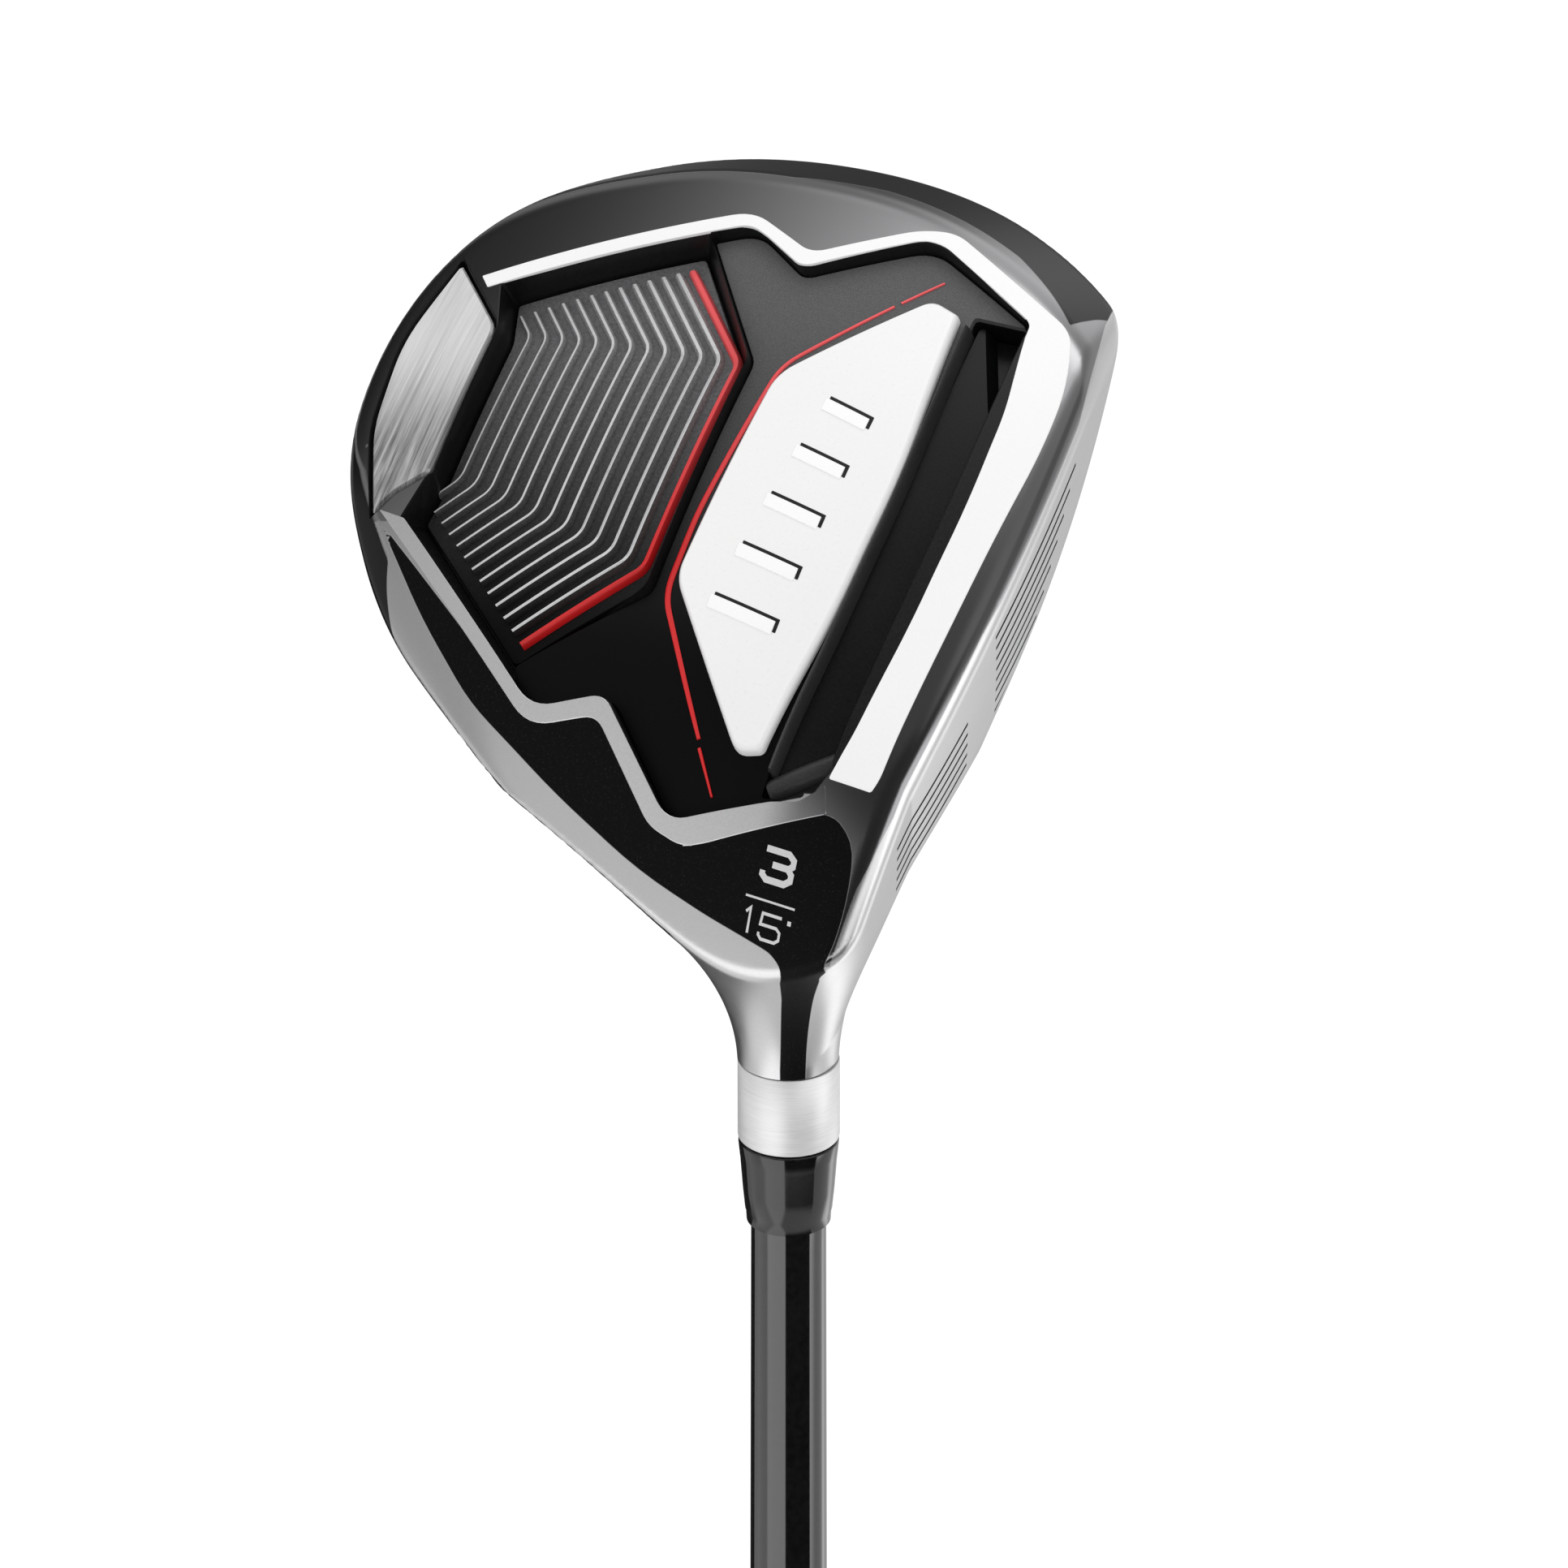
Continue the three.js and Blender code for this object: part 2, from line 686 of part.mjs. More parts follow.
const height = (along) => LENGTH_TO_GROUND - along;

function shaftRadius(z) {
  const share = (z - SHAFT_BUTT_Z) / (height(SHAFT_TIP) - SHAFT_BUTT_Z);
  return THREE.MathUtils.lerp(SHAFT_BUTT_RADIUS, SHAFT_TIP_RADIUS, share);
}

// The film of glue between the shaft's tip and the hosel's bore.
function hoselEpoxy() {
  const inside = SHAFT_TIP_RADIUS + 0.12;
  const outside = HOSEL_BORE_RADIUS - 0.05;
  const low = height(HOSEL_TOP - 4);
  const high = height(SHAFT_TIP + 2);
  return turned([
    [inside, low],
    [outside, low],
    [outside, high],
    [inside, high],
  ]);
}

// A plug pressed into the shaft's tip, which sets the club's swing weight.
function tipWeightPlug() {
  const radius = SHAFT_TIP_RADIUS - SHAFT_WALL - 0.05;
  const low = height(SHAFT_TIP + 11);
  const high = height(SHAFT_TIP + 1);
  return turned([
    [0, low],
    [radius, low],
    [radius, high],
    [0, high],
  ]);
}

// A tube whose walls follow the shaft's taper at two distances outside it.
function taperedSleeve(inside, outside, low, high) {
  return turned([
    [shaftRadius(low) + inside, low],
    [shaftRadius(low) + outside, low],
    [shaftRadius(high) + outside, high],
    [shaftRadius(high) + inside, high],
  ]);
}

function hoselSleeve() {
  const shoulder = height(COLLAR_BOTTOM);
  const mouth = height(HOSEL_TOP);
  return turned([
    [HOSEL_BORE_RADIUS, mouth],
    [HOSEL_RADIUS - 0.25, mouth],
    [HOSEL_RADIUS, mouth + 0.25],
    [HOSEL_RADIUS, shoulder],
    [SPIGOT_RADIUS, shoulder],
    [SPIGOT_RADIUS, height(SPIGOT_BOTTOM)],
    [HOSEL_BORE_RADIUS, height(SPIGOT_BOTTOM)],
  ]);
}

function ferrule() {
  const seat = height(HOSEL_TOP) - GAP;
  const end = height(FERRULE_TOP);
  const bore = shaftRadius(end) + 0.1;
  return turned([
    [bore, end],
    [bore + 0.45, end],
    [5.3, end + 1.6],
    [5.62, end + 4.6],
    [5.95, seat - 2],
    [5.98, seat],
    [bore, seat],
  ]);
}

function gripBody() {
  const low = CAP_THICKNESS + GAP;
  const mouth = low + GRIP_LENGTH;
  const bore = (z) => shaftRadius(z) + 0.5;
  const outer = (z) => {
    const share = (z - low) / GRIP_LENGTH;
    return THREE.MathUtils.lerp(GRIP_BUTT_RADIUS, GRIP_MOUTH_RADIUS, share ** 0.72);
  };
  const stations = Array.from({ length: 9 }, (_, i) => low + ((GRIP_LENGTH - 4) * i) / 8);
  return turned([
    [bore(low), low],
    [outer(low) - 0.5, low],
    ...stations.map((z, i) => [outer(z), i === 0 ? z + 0.5 : z]),
    [GRIP_MOUTH_RADIUS + 0.35, mouth - 2.6],
    [GRIP_MOUTH_RADIUS + 0.3, mouth - 0.6],
    [GRIP_MOUTH_RADIUS - 0.2, mouth],
    [bore(mouth), mouth],
  ]);
}

function gripCap() {
  return turned([
    [VENT_RADIUS, 0],
    [GRIP_BUTT_RADIUS - 1.8, 0],
    [GRIP_BUTT_RADIUS - 0.5, 0.5],
    [GRIP_BUTT_RADIUS, 1.7],
    [GRIP_BUTT_RADIUS, CAP_THICKNESS],
    [VENT_RADIUS, CAP_THICKNESS],
  ]);
}

function shaftTube() {
  const low = SHAFT_BUTT_Z;
  const high = height(SHAFT_TIP);
  return turned([
    [shaftRadius(low) - SHAFT_WALL, low],
    [shaftRadius(low), low],
    [shaftRadius(high), high],
    [shaftRadius(high) - SHAFT_WALL, high],
  ]);
}

function clubPieces() {
  return {
    hosel_sleeve: hoselSleeve(),
    ferrule: ferrule(),
    shaft: shaftTube(),
    hosel_epoxy: hoselEpoxy(),
    tip_weight_plug: tipWeightPlug(),
    grip_tape: taperedSleeve(0.06, 0.42, SHAFT_BUTT_Z + 1, GRIP_LENGTH - 6),
    grip: gripBody(),
    grip_cap: gripCap(),
  };
}

// ---------------------------------------------------------------- assembly

const finishes = {
  head_body: [0x0d0d0e, 0.25, 0.3],
  crown: [0x0c0c0d, 0.15, 0.2],
  face_plate: [0xb9bcc0, 0.35, 1],
  rear_weight: [0xc2c4c8, 0.3, 1],
  slot_insert: [0x141415, 0.45, 0],
  sole_inlay: [0x232426, 0.6, 0.1],
  ribbed_badge: [0x5b5d61, 0.35, 0.8],
  centre_badge: [0xf2f2f0, 0.3, 0],
  hot_melt_pad: [0xc9b98c, 0.7, 0],
  hosel_sleeve: [0xb8babd, 0.35, 1],
  ferrule: [0x060606, 0.12, 0],
  shaft: [0x0a0a0b, 0.15, 0.1],
  hosel_epoxy: [0x8c8468, 0.6, 0],
  tip_weight_plug: [0xb08d4c, 0.4, 1],
  grip_tape: [0xcfc6a8, 0.9, 0],
  grip: [0x161616, 0.85, 0],
  grip_cap: [0x1b1b1b, 0.8, 0],
};

function namedMesh(name, geometry) {
  const [color, roughness, metalness] = finishes[name];
  const mesh = new THREE.Mesh(
    geometry,
    new THREE.MeshStandardMaterial({ color, roughness, metalness }),
  );
  mesh.name = name;
  return mesh;
}

// The head frame turned so that the shaft's axis is upright and the head points up.
function headGroup() {
  const group = new THREE.Group();
  group.rotation.set(90 * degrees + LIE, 0, 180 * degrees, 'ZYX');
  group.position.z = LENGTH_TO_GROUND;
  for (const [name, solid] of Object.entries(headPieces())) group.add(namedMesh(name, geometryOf(solid)));
  return group;
}

const club = new THREE.Group();
club.add(headGroup());
for (const [name, geometry] of Object.entries(clubPieces())) club.add(namedMesh(name, geometry));

export default club;
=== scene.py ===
"""A 3 wood on a pale floor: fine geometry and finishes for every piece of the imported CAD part.

Head pieces are made in the head frame, in millimetres: +X from the face to the rear, +Y from heel to
toe, +Z up from the sole, with the shaft's axis through the origin. Shaft and grip pieces are made
in the row's frame, in millimetres. Everything is turned into metres in the row's frame at the end.
"""
import math

import bpy
import numpy as np
from mathutils import Matrix, Vector


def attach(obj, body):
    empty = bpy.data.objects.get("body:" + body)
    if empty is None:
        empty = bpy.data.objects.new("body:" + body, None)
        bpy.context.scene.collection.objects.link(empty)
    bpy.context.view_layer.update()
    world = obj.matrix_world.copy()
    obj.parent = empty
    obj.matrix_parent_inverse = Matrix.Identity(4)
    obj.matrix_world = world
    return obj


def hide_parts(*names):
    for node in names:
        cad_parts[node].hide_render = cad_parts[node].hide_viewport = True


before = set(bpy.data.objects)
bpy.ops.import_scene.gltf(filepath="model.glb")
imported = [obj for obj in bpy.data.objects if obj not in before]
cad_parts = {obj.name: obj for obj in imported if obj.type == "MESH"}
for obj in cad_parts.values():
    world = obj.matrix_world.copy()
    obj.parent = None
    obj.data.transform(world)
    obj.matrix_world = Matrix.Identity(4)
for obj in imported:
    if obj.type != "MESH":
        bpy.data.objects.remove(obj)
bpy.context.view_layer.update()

# ---------------------------------------------------------------- driving sizes

LENGTH_TO_GROUND = 1090.0
LIE = math.radians(58)
LOFT = math.radians(15)
AXIS_Y, AXIS_Z = -math.cos(LIE), math.sin(LIE)

HOSEL_RADIUS = 6.2
HOSEL_TOP = 62.0
SLEEVE_BORE_RADIUS = 5.7
COLLAR_BOTTOM = 51.5
FERRULE_TOP = 73.5
SHAFT_TIP_RADIUS = 4.45
SHAFT_BUTT_RADIUS = 7.6
SHAFT_TIP = 30.0
SHAFT_BUTT_Z = 5.0
GRIP_LENGTH = 268.0
GRIP_MOUTH_RADIUS = 8.6
GRIP_BUTT_RADIUS = 13.2
CAP_THICKNESS = 3.2
VENT_RADIUS = 1.6

INLAY_DEPTH = 2.1
POCKET_DEPTH = 4.5
RIB_HEIGHT = 0.8
RIB_COUNT = 13
SLOT_DEPTH = 3.4
PANEL_DEPTH = 0.5
TRIM_RISE = 0.1
CLEAR_DEPTH = -14.0

SKIN_STEP = 0.6
ROOM_STEP = 2.0
HEAD_BOX = ((-24, -44, -2), (81, 83, 54))

# The head's outer surface: plan outline, cambered sole, crown dome, bulged and rolled face, flared neck.
OUTLINE_CENTRE = (28.0, 30.0)
OUTLINE_RADII = np.array([49, 52.5, 49.5, 48.5, 51.5, 56.5, 61.5, 62, 54.5, 46.5, 43.5, 44])
SOLE_LOWEST = (19.0, 37.0)
SOLE_RADII = (150.0, 165.0)
HEEL_START, HEEL_RADIUS = 1.5, 70.0
DOME_TOP = (5.0, 21.5, 38.0)
DOME_RADII = (220.0, 180.0)
FACE_FOOT, FACE_TOP = -20.5, 40.0
FACE_MIDDLE = (24.5, 18.0)
FACE_HALF_WIDTH, FACE_RADIUS = 30.0, 280.0
NECK_FLARE_TOP, NECK_FLARE_LENGTH, NECK_FLARE_RADIUS = 52.5, 32.5, 23.5
NECK_ENDS = (12.0, 57.0)
EDGE_HEIGHT = 11.5
SKIRT_LEAN, SIDE_LEAN = math.radians(47), math.radians(46)
CROWN_BLEND, EDGE_BLEND, NECK_BLEND, SOLE_BLEND, FACE_BLEND = 16.0, 1.6, 14.0, 1.2, 3.2
SKIN_WALL, SOLE_WALL, FACE_WALL = 1.0, 1.8, 2.2

MM = 0.001
HEAD_TO_ROW = Matrix((
    (-MM, 0, 0, 0),
    (0, MM * AXIS_Z, -MM * AXIS_Y, 0),
    (0, -MM * AXIS_Y, -MM * AXIS_Z, MM * LENGTH_TO_GROUND),
    (0, 0, 0, 1),
))
CLUB_TO_ROW = Matrix.Diagonal((MM, MM, MM, 1))


# ---------------------------------------------------------------- the head's outer surface

def between(low, high, share):
    return low + (high - low) * share


def smooth_max(a, b, width):
    overlap = np.maximum(width - np.abs(a - b), 0) / width
    return np.maximum(a, b) + overlap * overlap * width / 4


def smooth_min(a, b, width):
    return -smooth_max(-a, -b, width)


def outline_distance(x, y):
    """Signed distance from the plan outline, a closed Catmull-Rom curve in polar form."""
    dx, dy = x - OUTLINE_CENTRE[0], y - OUTLINE_CENTRE[1]
    count = len(OUTLINE_RADII)
    turn = (np.arctan2(dy, dx) / (2 * np.pi) * count) % count
    index = np.floor(turn).astype(int) % count
    t = turn - np.floor(turn)
    before, start, end, after = (OUTLINE_RADII[(index + k) % count] for k in (-1, 0, 1, 2))
    a = (-before + 3 * start - 3 * end + after) / 2
    b = (2 * before - 5 * start + 4 * end - after) / 2
    c = (end - before) / 2
    radius = ((a * t + b) * t + c) * t + start
    slope = ((3 * a * t + 2 * b) * t + c) * count / (2 * np.pi)
    return (np.hypot(dx, dy) - radius) / np.hypot(1, slope / radius)


def sole_height(x, y):
    forward, across, heel = x - SOLE_LOWEST[0], y - SOLE_LOWEST[1], np.maximum(HEEL_START - y, 0)
    return (forward ** 2 / SOLE_RADII[0] + across ** 2 / SOLE_RADII[1] + heel ** 2 / HEEL_RADIUS) / 2


def sole_slopes(x, y):
    heel = np.maximum(HEEL_START - y, 0) / HEEL_RADIUS
    return (x - SOLE_LOWEST[0]) / SOLE_RADII[0], (y - SOLE_LOWEST[1]) / SOLE_RADII[1] - heel


def sole_distance(x, y, z):
    slope_x, slope_y = sole_slopes(x, y)
    return (sole_height(x, y) - z) / np.sqrt(1 + slope_x ** 2 + slope_y ** 2)


def dome_distance(x, y, z):
    back, across = x - DOME_TOP[0], y - DOME_TOP[1]
    slope_x, slope_y = back / DOME_RADII[0], across / DOME_RADII[1]
    height = DOME_TOP[2] - (back * slope_x + across * slope_y) / 2
    return (z - height) / np.sqrt(1 + slope_x ** 2 + slope_y ** 2)


def face_x(y, z):
    height = np.minimum(z, FACE_TOP)
    across = np.maximum(y - FACE_MIDDLE[0], -FACE_HALF_WIDTH)
    bulge = (across ** 2 + (height - FACE_MIDDLE[1]) ** 2) / (2 * FACE_RADIUS)
    return FACE_FOOT + height * math.tan(LOFT) + bulge


def face_distance(x, y, z):
    return (face_x(y, z) - x) * math.cos(LOFT)


def axis_place(x, y, z):
    """Distance up the shaft's axis from the ground, and away from it."""
    along = y * AXIS_Y + z * AXIS_Z
    return along, np.sqrt(x ** 2 + (y - along * AXIS_Y) ** 2 + (z - along * AXIS_Z) ** 2)


def neck_distance(x, y, z):
    along, across = axis_place(x, y, z)
    down = np.clip(NECK_FLARE_TOP - along, 0, NECK_FLARE_LENGTH)
    flare = down ** 2 / (2 * NECK_FLARE_RADIUS)
    side = (across - HOSEL_RADIUS - flare) / np.hypot(1, down / NECK_FLARE_RADIUS)
    return np.maximum(side, np.maximum(NECK_ENDS[0] - along, along - NECK_ENDS[1]))


def edge_distances(x, y, z):
    """Distances from the skirt below the crown's edge and from the crown's side above it."""
    outline, rise = outline_distance(x, y), z - EDGE_HEIGHT
    return (
        (outline - rise * math.tan(SKIRT_LEAN)) * math.cos(SKIRT_LEAN),
        (outline + rise * math.tan(SIDE_LEAN)) * math.cos(SIDE_LEAN),
    )


def head_distance(x, y, z):
    skirt, side = edge_distances(x, y, z)
    crown = smooth_max(dome_distance(x, y, z), side, CROWN_BLEND)
    bowl = smooth_max(crown, skirt, EDGE_BLEND)
    with_neck = smooth_min(bowl, neck_distance(x, y, z), NECK_BLEND)
    soled = smooth_max(with_neck, sole_distance(x, y, z), SOLE_BLEND)
    return smooth_max(soled, face_distance(x, y, z), FACE_BLEND)


# ---------------------------------------------------------------- fine meshes

def unit(vectors):
    return vectors / np.maximum(np.linalg.norm(vectors, axis=-1, keepdims=True), 1e-12)


def slopes_at(field, points, nudge=0.02):
    found = []
    for axis in range(3):
        shift = np.zeros(3)
        shift[axis] = nudge
        ahead, behind = (points + shift).T, (points - shift).T
        found.append((field(*ahead) - field(*behind)) / (2 * nudge))
    return np.stack(found, axis=1)


def onto_surface(field, points):
    for _ in range(4):
        slopes = slopes_at(field, points)
        share = field(*points.T) / np.maximum((slopes ** 2).sum(axis=1), 0.1)
        points = points - slopes * share[:, None]
    return points


def contoured(field, low, high, step):
    """Closed quads over the surface where a field is zero, with one point in each cell it crosses."""
    low = np.array(low, float)
    axes = [np.arange(a, b + step, step) for a, b in zip(low, high)]
    values = field(*np.meshgrid(*axes, indexing="ij"))
    shape = np.array(values.shape) - 1
    total, count, crossings = np.zeros((*shape, 3)), np.zeros(shape), []
    for axis in range(3):
        near = np.take(values, range(values.shape[axis] - 1), axis)
        far = np.take(values, range(1, values.shape[axis]), axis)
        crossed = (near < 0) != (far < 0)
        start = np.argwhere(crossed)
        a, b = near[crossed], far[crossed]
        point = start.astype(float)
        point[:, axis] += a / (a - b)
        crossings.append((axis, start, a < 0))
        for cell in cells_round(start, axis):
            np.add.at(total, tuple(cell.T), point)
            np.add.at(count, tuple(cell.T), 1)
    used = count > 0
    number = np.full(shape, -1)
    number[used] = np.arange(used.sum())
    points = total[used] / count[used][:, None] * step + low
    squares = []
    for axis, start, starts_inside in crossings:
        square = np.stack([number[tuple(cell.T)] for cell in cells_round(start, axis)], axis=1)
        square[~starts_inside] = square[~starts_inside][:, ::-1]
        squares.append(square)
    return onto_surface(field, points), np.concatenate(squares)


def cells_round(start, axis):
    """The four cells round each grid edge, in turning order."""
    cells = []
    for back_b, back_c in ((1, 1), (0, 1), (0, 0), (1, 0)):
        cell = start.copy()
        cell[:, (axis + 1) % 3] -= back_b
        cell[:, (axis + 2) % 3] -= back_c
        cells.append(cell)
    return cells


def mesh_object(name, points, faces):
    mesh = bpy.data.meshes.new(name)
    mesh.from_pydata(np.asarray(points, float).tolist(), [], [list(map(int, f)) for f in faces])
    mesh.validate()
    made = bpy.data.objects.new(name, mesh)
    bpy.context.scene.collection.objects.link(made)
    return made


def combined(target, other, operation):
    """Cuts or intersects target with other, which is used up; faces cut by other take the second finish."""
    for item in (target, other):
        while len(item.data.materials) < 2:
            item.data.materials.append(None)
    other.data.polygons.foreach_set("material_index", [1] * len(other.data.polygons))
    modifier = target.modifiers.new("combine", "BOOLEAN")
    modifier.solver = "MANIFOLD"
    modifier.operation = operation
    modifier.object = other
    graph = bpy.context.evaluated_depsgraph_get()
    made = bpy.data.meshes.new_from_object(target.evaluated_get(graph))
    target.modifiers.clear()
    old = target.data
    target.data = made
    bpy.data.meshes.remove(old)
    bpy.data.objects.remove(other)
    if not len(made.polygons):
        raise RuntimeError(f"{target.name} was emptied by {operation}")
    return target


# ---------------------------------------------------------------- outlines

def grown(corners, margin):
    """Corners (x, y, rounding) moved out by a margin, or in by a negative one."""
    points = np.array([c[:2] for c in corners], float)
    ahead = np.roll(points, -1, axis=0)
    area = (points[:, 0] * ahead[:, 1] - ahead[:, 0] * points[:, 1]).sum()
    before, after = unit(points - np.roll(points, 1, axis=0)), unit(ahead - points)
    normal = unit(np.stack([before[:, 1] + after[:, 1], -before[:, 0] - after[:, 0]], axis=1))
    square = np.maximum(normal[:, 0] * before[:, 1] - normal[:, 1] * before[:, 0], 0.4)
    moved = points + normal * (np.sign(area) * margin / square)[:, None]
    return [(x, y, corner[2]) for (x, y), corner in zip(moved, corners)]


def rounded(corners, closed=True, steps=6, per_side=16):
    """Points along the straight runs and rounded corners of (x, y, rounding) corners."""
    count = len(corners)
    places = [np.array(c[:2], float) for c in corners]
    arcs = []
    for i, (x, y, rounding) in enumerate(corners):
        here = places[i]
        if not closed and i in (0, count - 1):
            arcs.append(np.array([here]))
            continue
        start = here + unit(places[i - 1] - here) * rounding
        end = here + unit(places[(i + 1) % count] - here) * rounding
        t = np.linspace(0, 1, steps + 1)[:, None]
        arcs.append((1 - t) ** 2 * start + 2 * t * (1 - t) * here + t ** 2 * end)
    points = []
    for i, arc in enumerate(arcs):
        points.append(arc)
        if closed or i < count - 1:
            onwards = arcs[(i + 1) % count][0]
            share = np.linspace(0, 1, per_side + 1)[1:-1, None]
            points.append(arc[-1] + (onwards - arc[-1]) * share)
    return np.concatenate(points)


def on_sole(outline, depth):
    z = sole_height(outline[:, 0], outline[:, 1]) + depth
    return np.column_stack([outline, z])


def tube(name, rings, capped=True):
    """Closed solid through rings of points, facing outwards: with flat ends, or joined end to end."""
    rings = np.asarray(rings, float)
    layers, count = rings.shape[:2]
    points = rings.reshape(-1, 3)
    faces = [list(range(count))[::-1], list(range(len(points) - count, len(points)))] if capped else []
    for layer in range(layers - 1 if capped else layers):
        start, after = layer * count, (layer + 1) % layers * count
        for i in range(count):
            j = (i + 1) % count
            faces.append([start + i, start + j, after + j, after + i])
    made = mesh_object(name, points, faces)
    if signed_volume(points, faces) < 0:
        made.data.flip_normals()
    return made


def signed_volume(points, faces):
    total = 0.0
    for face in faces:
        first = points[face[0]]
        fan = points[face[1:]] - first
        total += np.einsum("ij,j->", np.cross(fan[:-1], fan[1:]), first)
    return total


def lofted(name, rings):
    """Closed solid through rings of (outline, depth below the sole's surface)."""
    return tube(name, [on_sole(*ring) for ring in rings])


def prism(outline, depth):
    """Tool with straight sides that reaches down through the sole to a depth."""
    return lofted("cutter", [(outline, CLEAR_DEPTH), (outline, depth)])


def sole_slab(outline, shallow, deep, step=0.9):
    """Closed slab between two depths, which follows the sole's camber under an outline."""
    low, high = outline.min(axis=0) - 2, outline.max(axis=0) + 2
    counts = np.ceil((high - low) / step).astype(int) + 1
    xs, ys = (low[k] + step * np.arange(counts[k]) for k in (0, 1))
    grid = np.stack(np.meshgrid(xs, ys, indexing="ij"), axis=-1).reshape(-1, 2)
    points = np.concatenate([on_sole(grid, shallow), on_sole(grid, deep)])
    across, total = counts[1], len(grid)
    faces = []
    for i in range(counts[0] - 1):
        for j in range(counts[1] - 1):
            a = i * across + j
            square = [a, a + across, a + across + 1, a + 1]
            faces.append([k + total for k in square])
            faces.append(square[::-1])
    rim = [i * across for i in range(counts[0])]
    rim += [(counts[0] - 1) * across + j for j in range(1, counts[1])]
    rim += [i * across + counts[1] - 1 for i in range(counts[0] - 2, -1, -1)]
    rim += [j for j in range(counts[1] - 2, 0, -1)]
    for a, b in zip(rim, rim[1:] + rim[:1]):
        faces.append([a, b, b + total, a + total])
    return mesh_object("slab", points, faces)


def plate(name, corners, shallow, deep, edge=0.16, step=0.9):
    """Plate that follows the sole's camber between two depths, with a rounded outer edge."""
    outline = rounded(corners)
    rings = [
        (rounded(grown(corners, -edge - 0.1)), CLEAR_DEPTH),
        (rounded(grown(corners, -edge - 0.1)), shallow - 0.1),
        (rounded(grown(corners, -0.3 * edge)), shallow + 0.7 * edge),
        (outline, shallow + 1.7 * edge),
        (outline, deep + 0.5),
    ]
    return combined(lofted(name, rings), sole_slab(outline, shallow, deep, step), "INTERSECT")


def cutter(lip, floor, depth, chamfer):
    """Tool for a recess: lip corners at the skin, floor corners at the depth, and a chamfered lip."""
    flare = rounded(grown(lip, chamfer))
    rings = [
        (flare, CLEAR_DEPTH),
        (flare, 0.02),
        (rounded(grown(lip, 0.35 * chamfer)), 0.4 * chamfer),
        (rounded(lip), 1.3 * chamfer),
        (rounded(floor), depth),
        (rounded(floor), depth + 4),
    ]
    return combined(lofted("cutter", rings), sole_slab(flare, -6, depth, step=1.5), "INTERSECT")


def swept(name, path, profile, widths=1.0):
    """Closed bar along a plan path: profile is (share of the width, depth) pairs round its section."""
    path = np.asarray(path, float)
    widths = np.broadcast_to(np.asarray(widths, float), (len(path),))
    before = unit(path - np.vstack([path[:1] * 2 - path[1:2], path[:-1]]))
    after = unit(np.vstack([path[1:], path[-1:] * 2 - path[-2:-1]]) - path)
    tangent = unit(before + after)
    side = np.stack([tangent[:, 1], -tangent[:, 0]], axis=1)
    stretch = 1 / np.maximum((tangent * before).sum(axis=1), 0.5)
    rings = []
    for share, depth in profile:
        rings.append(on_sole(path + side * (widths * stretch * share)[:, None], depth))
    return tube(name, np.stack(rings, axis=1))


def both_sides(half):
    """A section for a bar, from one side's (share of the width, depth) pairs, listed from the foot up."""
    return [(-share, depth) for share, depth in half] + list(half)[::-1]


def joined(name, parts):
    """One object from several that don't touch."""
    points, faces, start = [], [], 0
    for part in parts:
        mesh = part.data
        points += [tuple(v.co) for v in mesh.vertices]
        faces += [[i + start for i in p.vertices] for p in mesh.polygons]
        start += len(mesh.vertices)
        bpy.data.objects.remove(part)
    return mesh_object(name, points, faces)


# ---------------------------------------------------------------- shading normals

def face_corner_data(mesh):
    loops, polygons = len(mesh.loops), len(mesh.polygons)
    places = np.empty(len(mesh.vertices) * 3)
    mesh.vertices.foreach_get("co", places)
    index = np.empty(loops, int)
    mesh.loops.foreach_get("vertex_index", index)
    face_normals = np.empty(polygons * 3)
    mesh.polygons.foreach_get("normal", face_normals)
    sizes = np.empty(polygons, int)
    mesh.polygons.foreach_get("loop_total", sizes)
    normals = np.empty(loops * 3)
    mesh.corner_normals.foreach_get("vector", normals)
    flat = np.repeat(face_normals.reshape(-1, 3), sizes, axis=0)
    return places.reshape(-1, 3)[index], flat, normals.reshape(-1, 3)


def smoothed(made, normal_at=None, sharp=32, within=9):
    """Smooth shading with sharp edges; where the exact surface is known its normals are used."""
    mesh = made.data
    mesh.polygons.foreach_set("use_smooth", [True] * len(mesh.polygons))
    mesh.set_sharp_from_angle(angle=math.radians(sharp))
    if normal_at:
        places, flat, normals = face_corner_data(mesh)
        exact = normal_at(places)
        close = (flat * exact).sum(axis=1) > math.cos(math.radians(within))
        normals[close] = exact[close]
        mesh.normals_split_custom_set(normals.tolist())
    return made


def sole_normals(places):
    slope_x, slope_y = sole_slopes(places[:, 0], places[:, 1])
    return unit(np.stack([slope_x, slope_y, -np.ones(len(places))], axis=1))


# ---------------------------------------------------------------- finishes

DARK_PLATING = (0.42, 0.42, 0.43)
DARK_PLATING_ROUGH = 0.16
SIGNAL_RED = (0.62, 0.012, 0.014)
# Pink that stands in for a highlight on the red paint.
PAINTED_HIGHLIGHT_RED = (0.86, 0.11, 0.12)


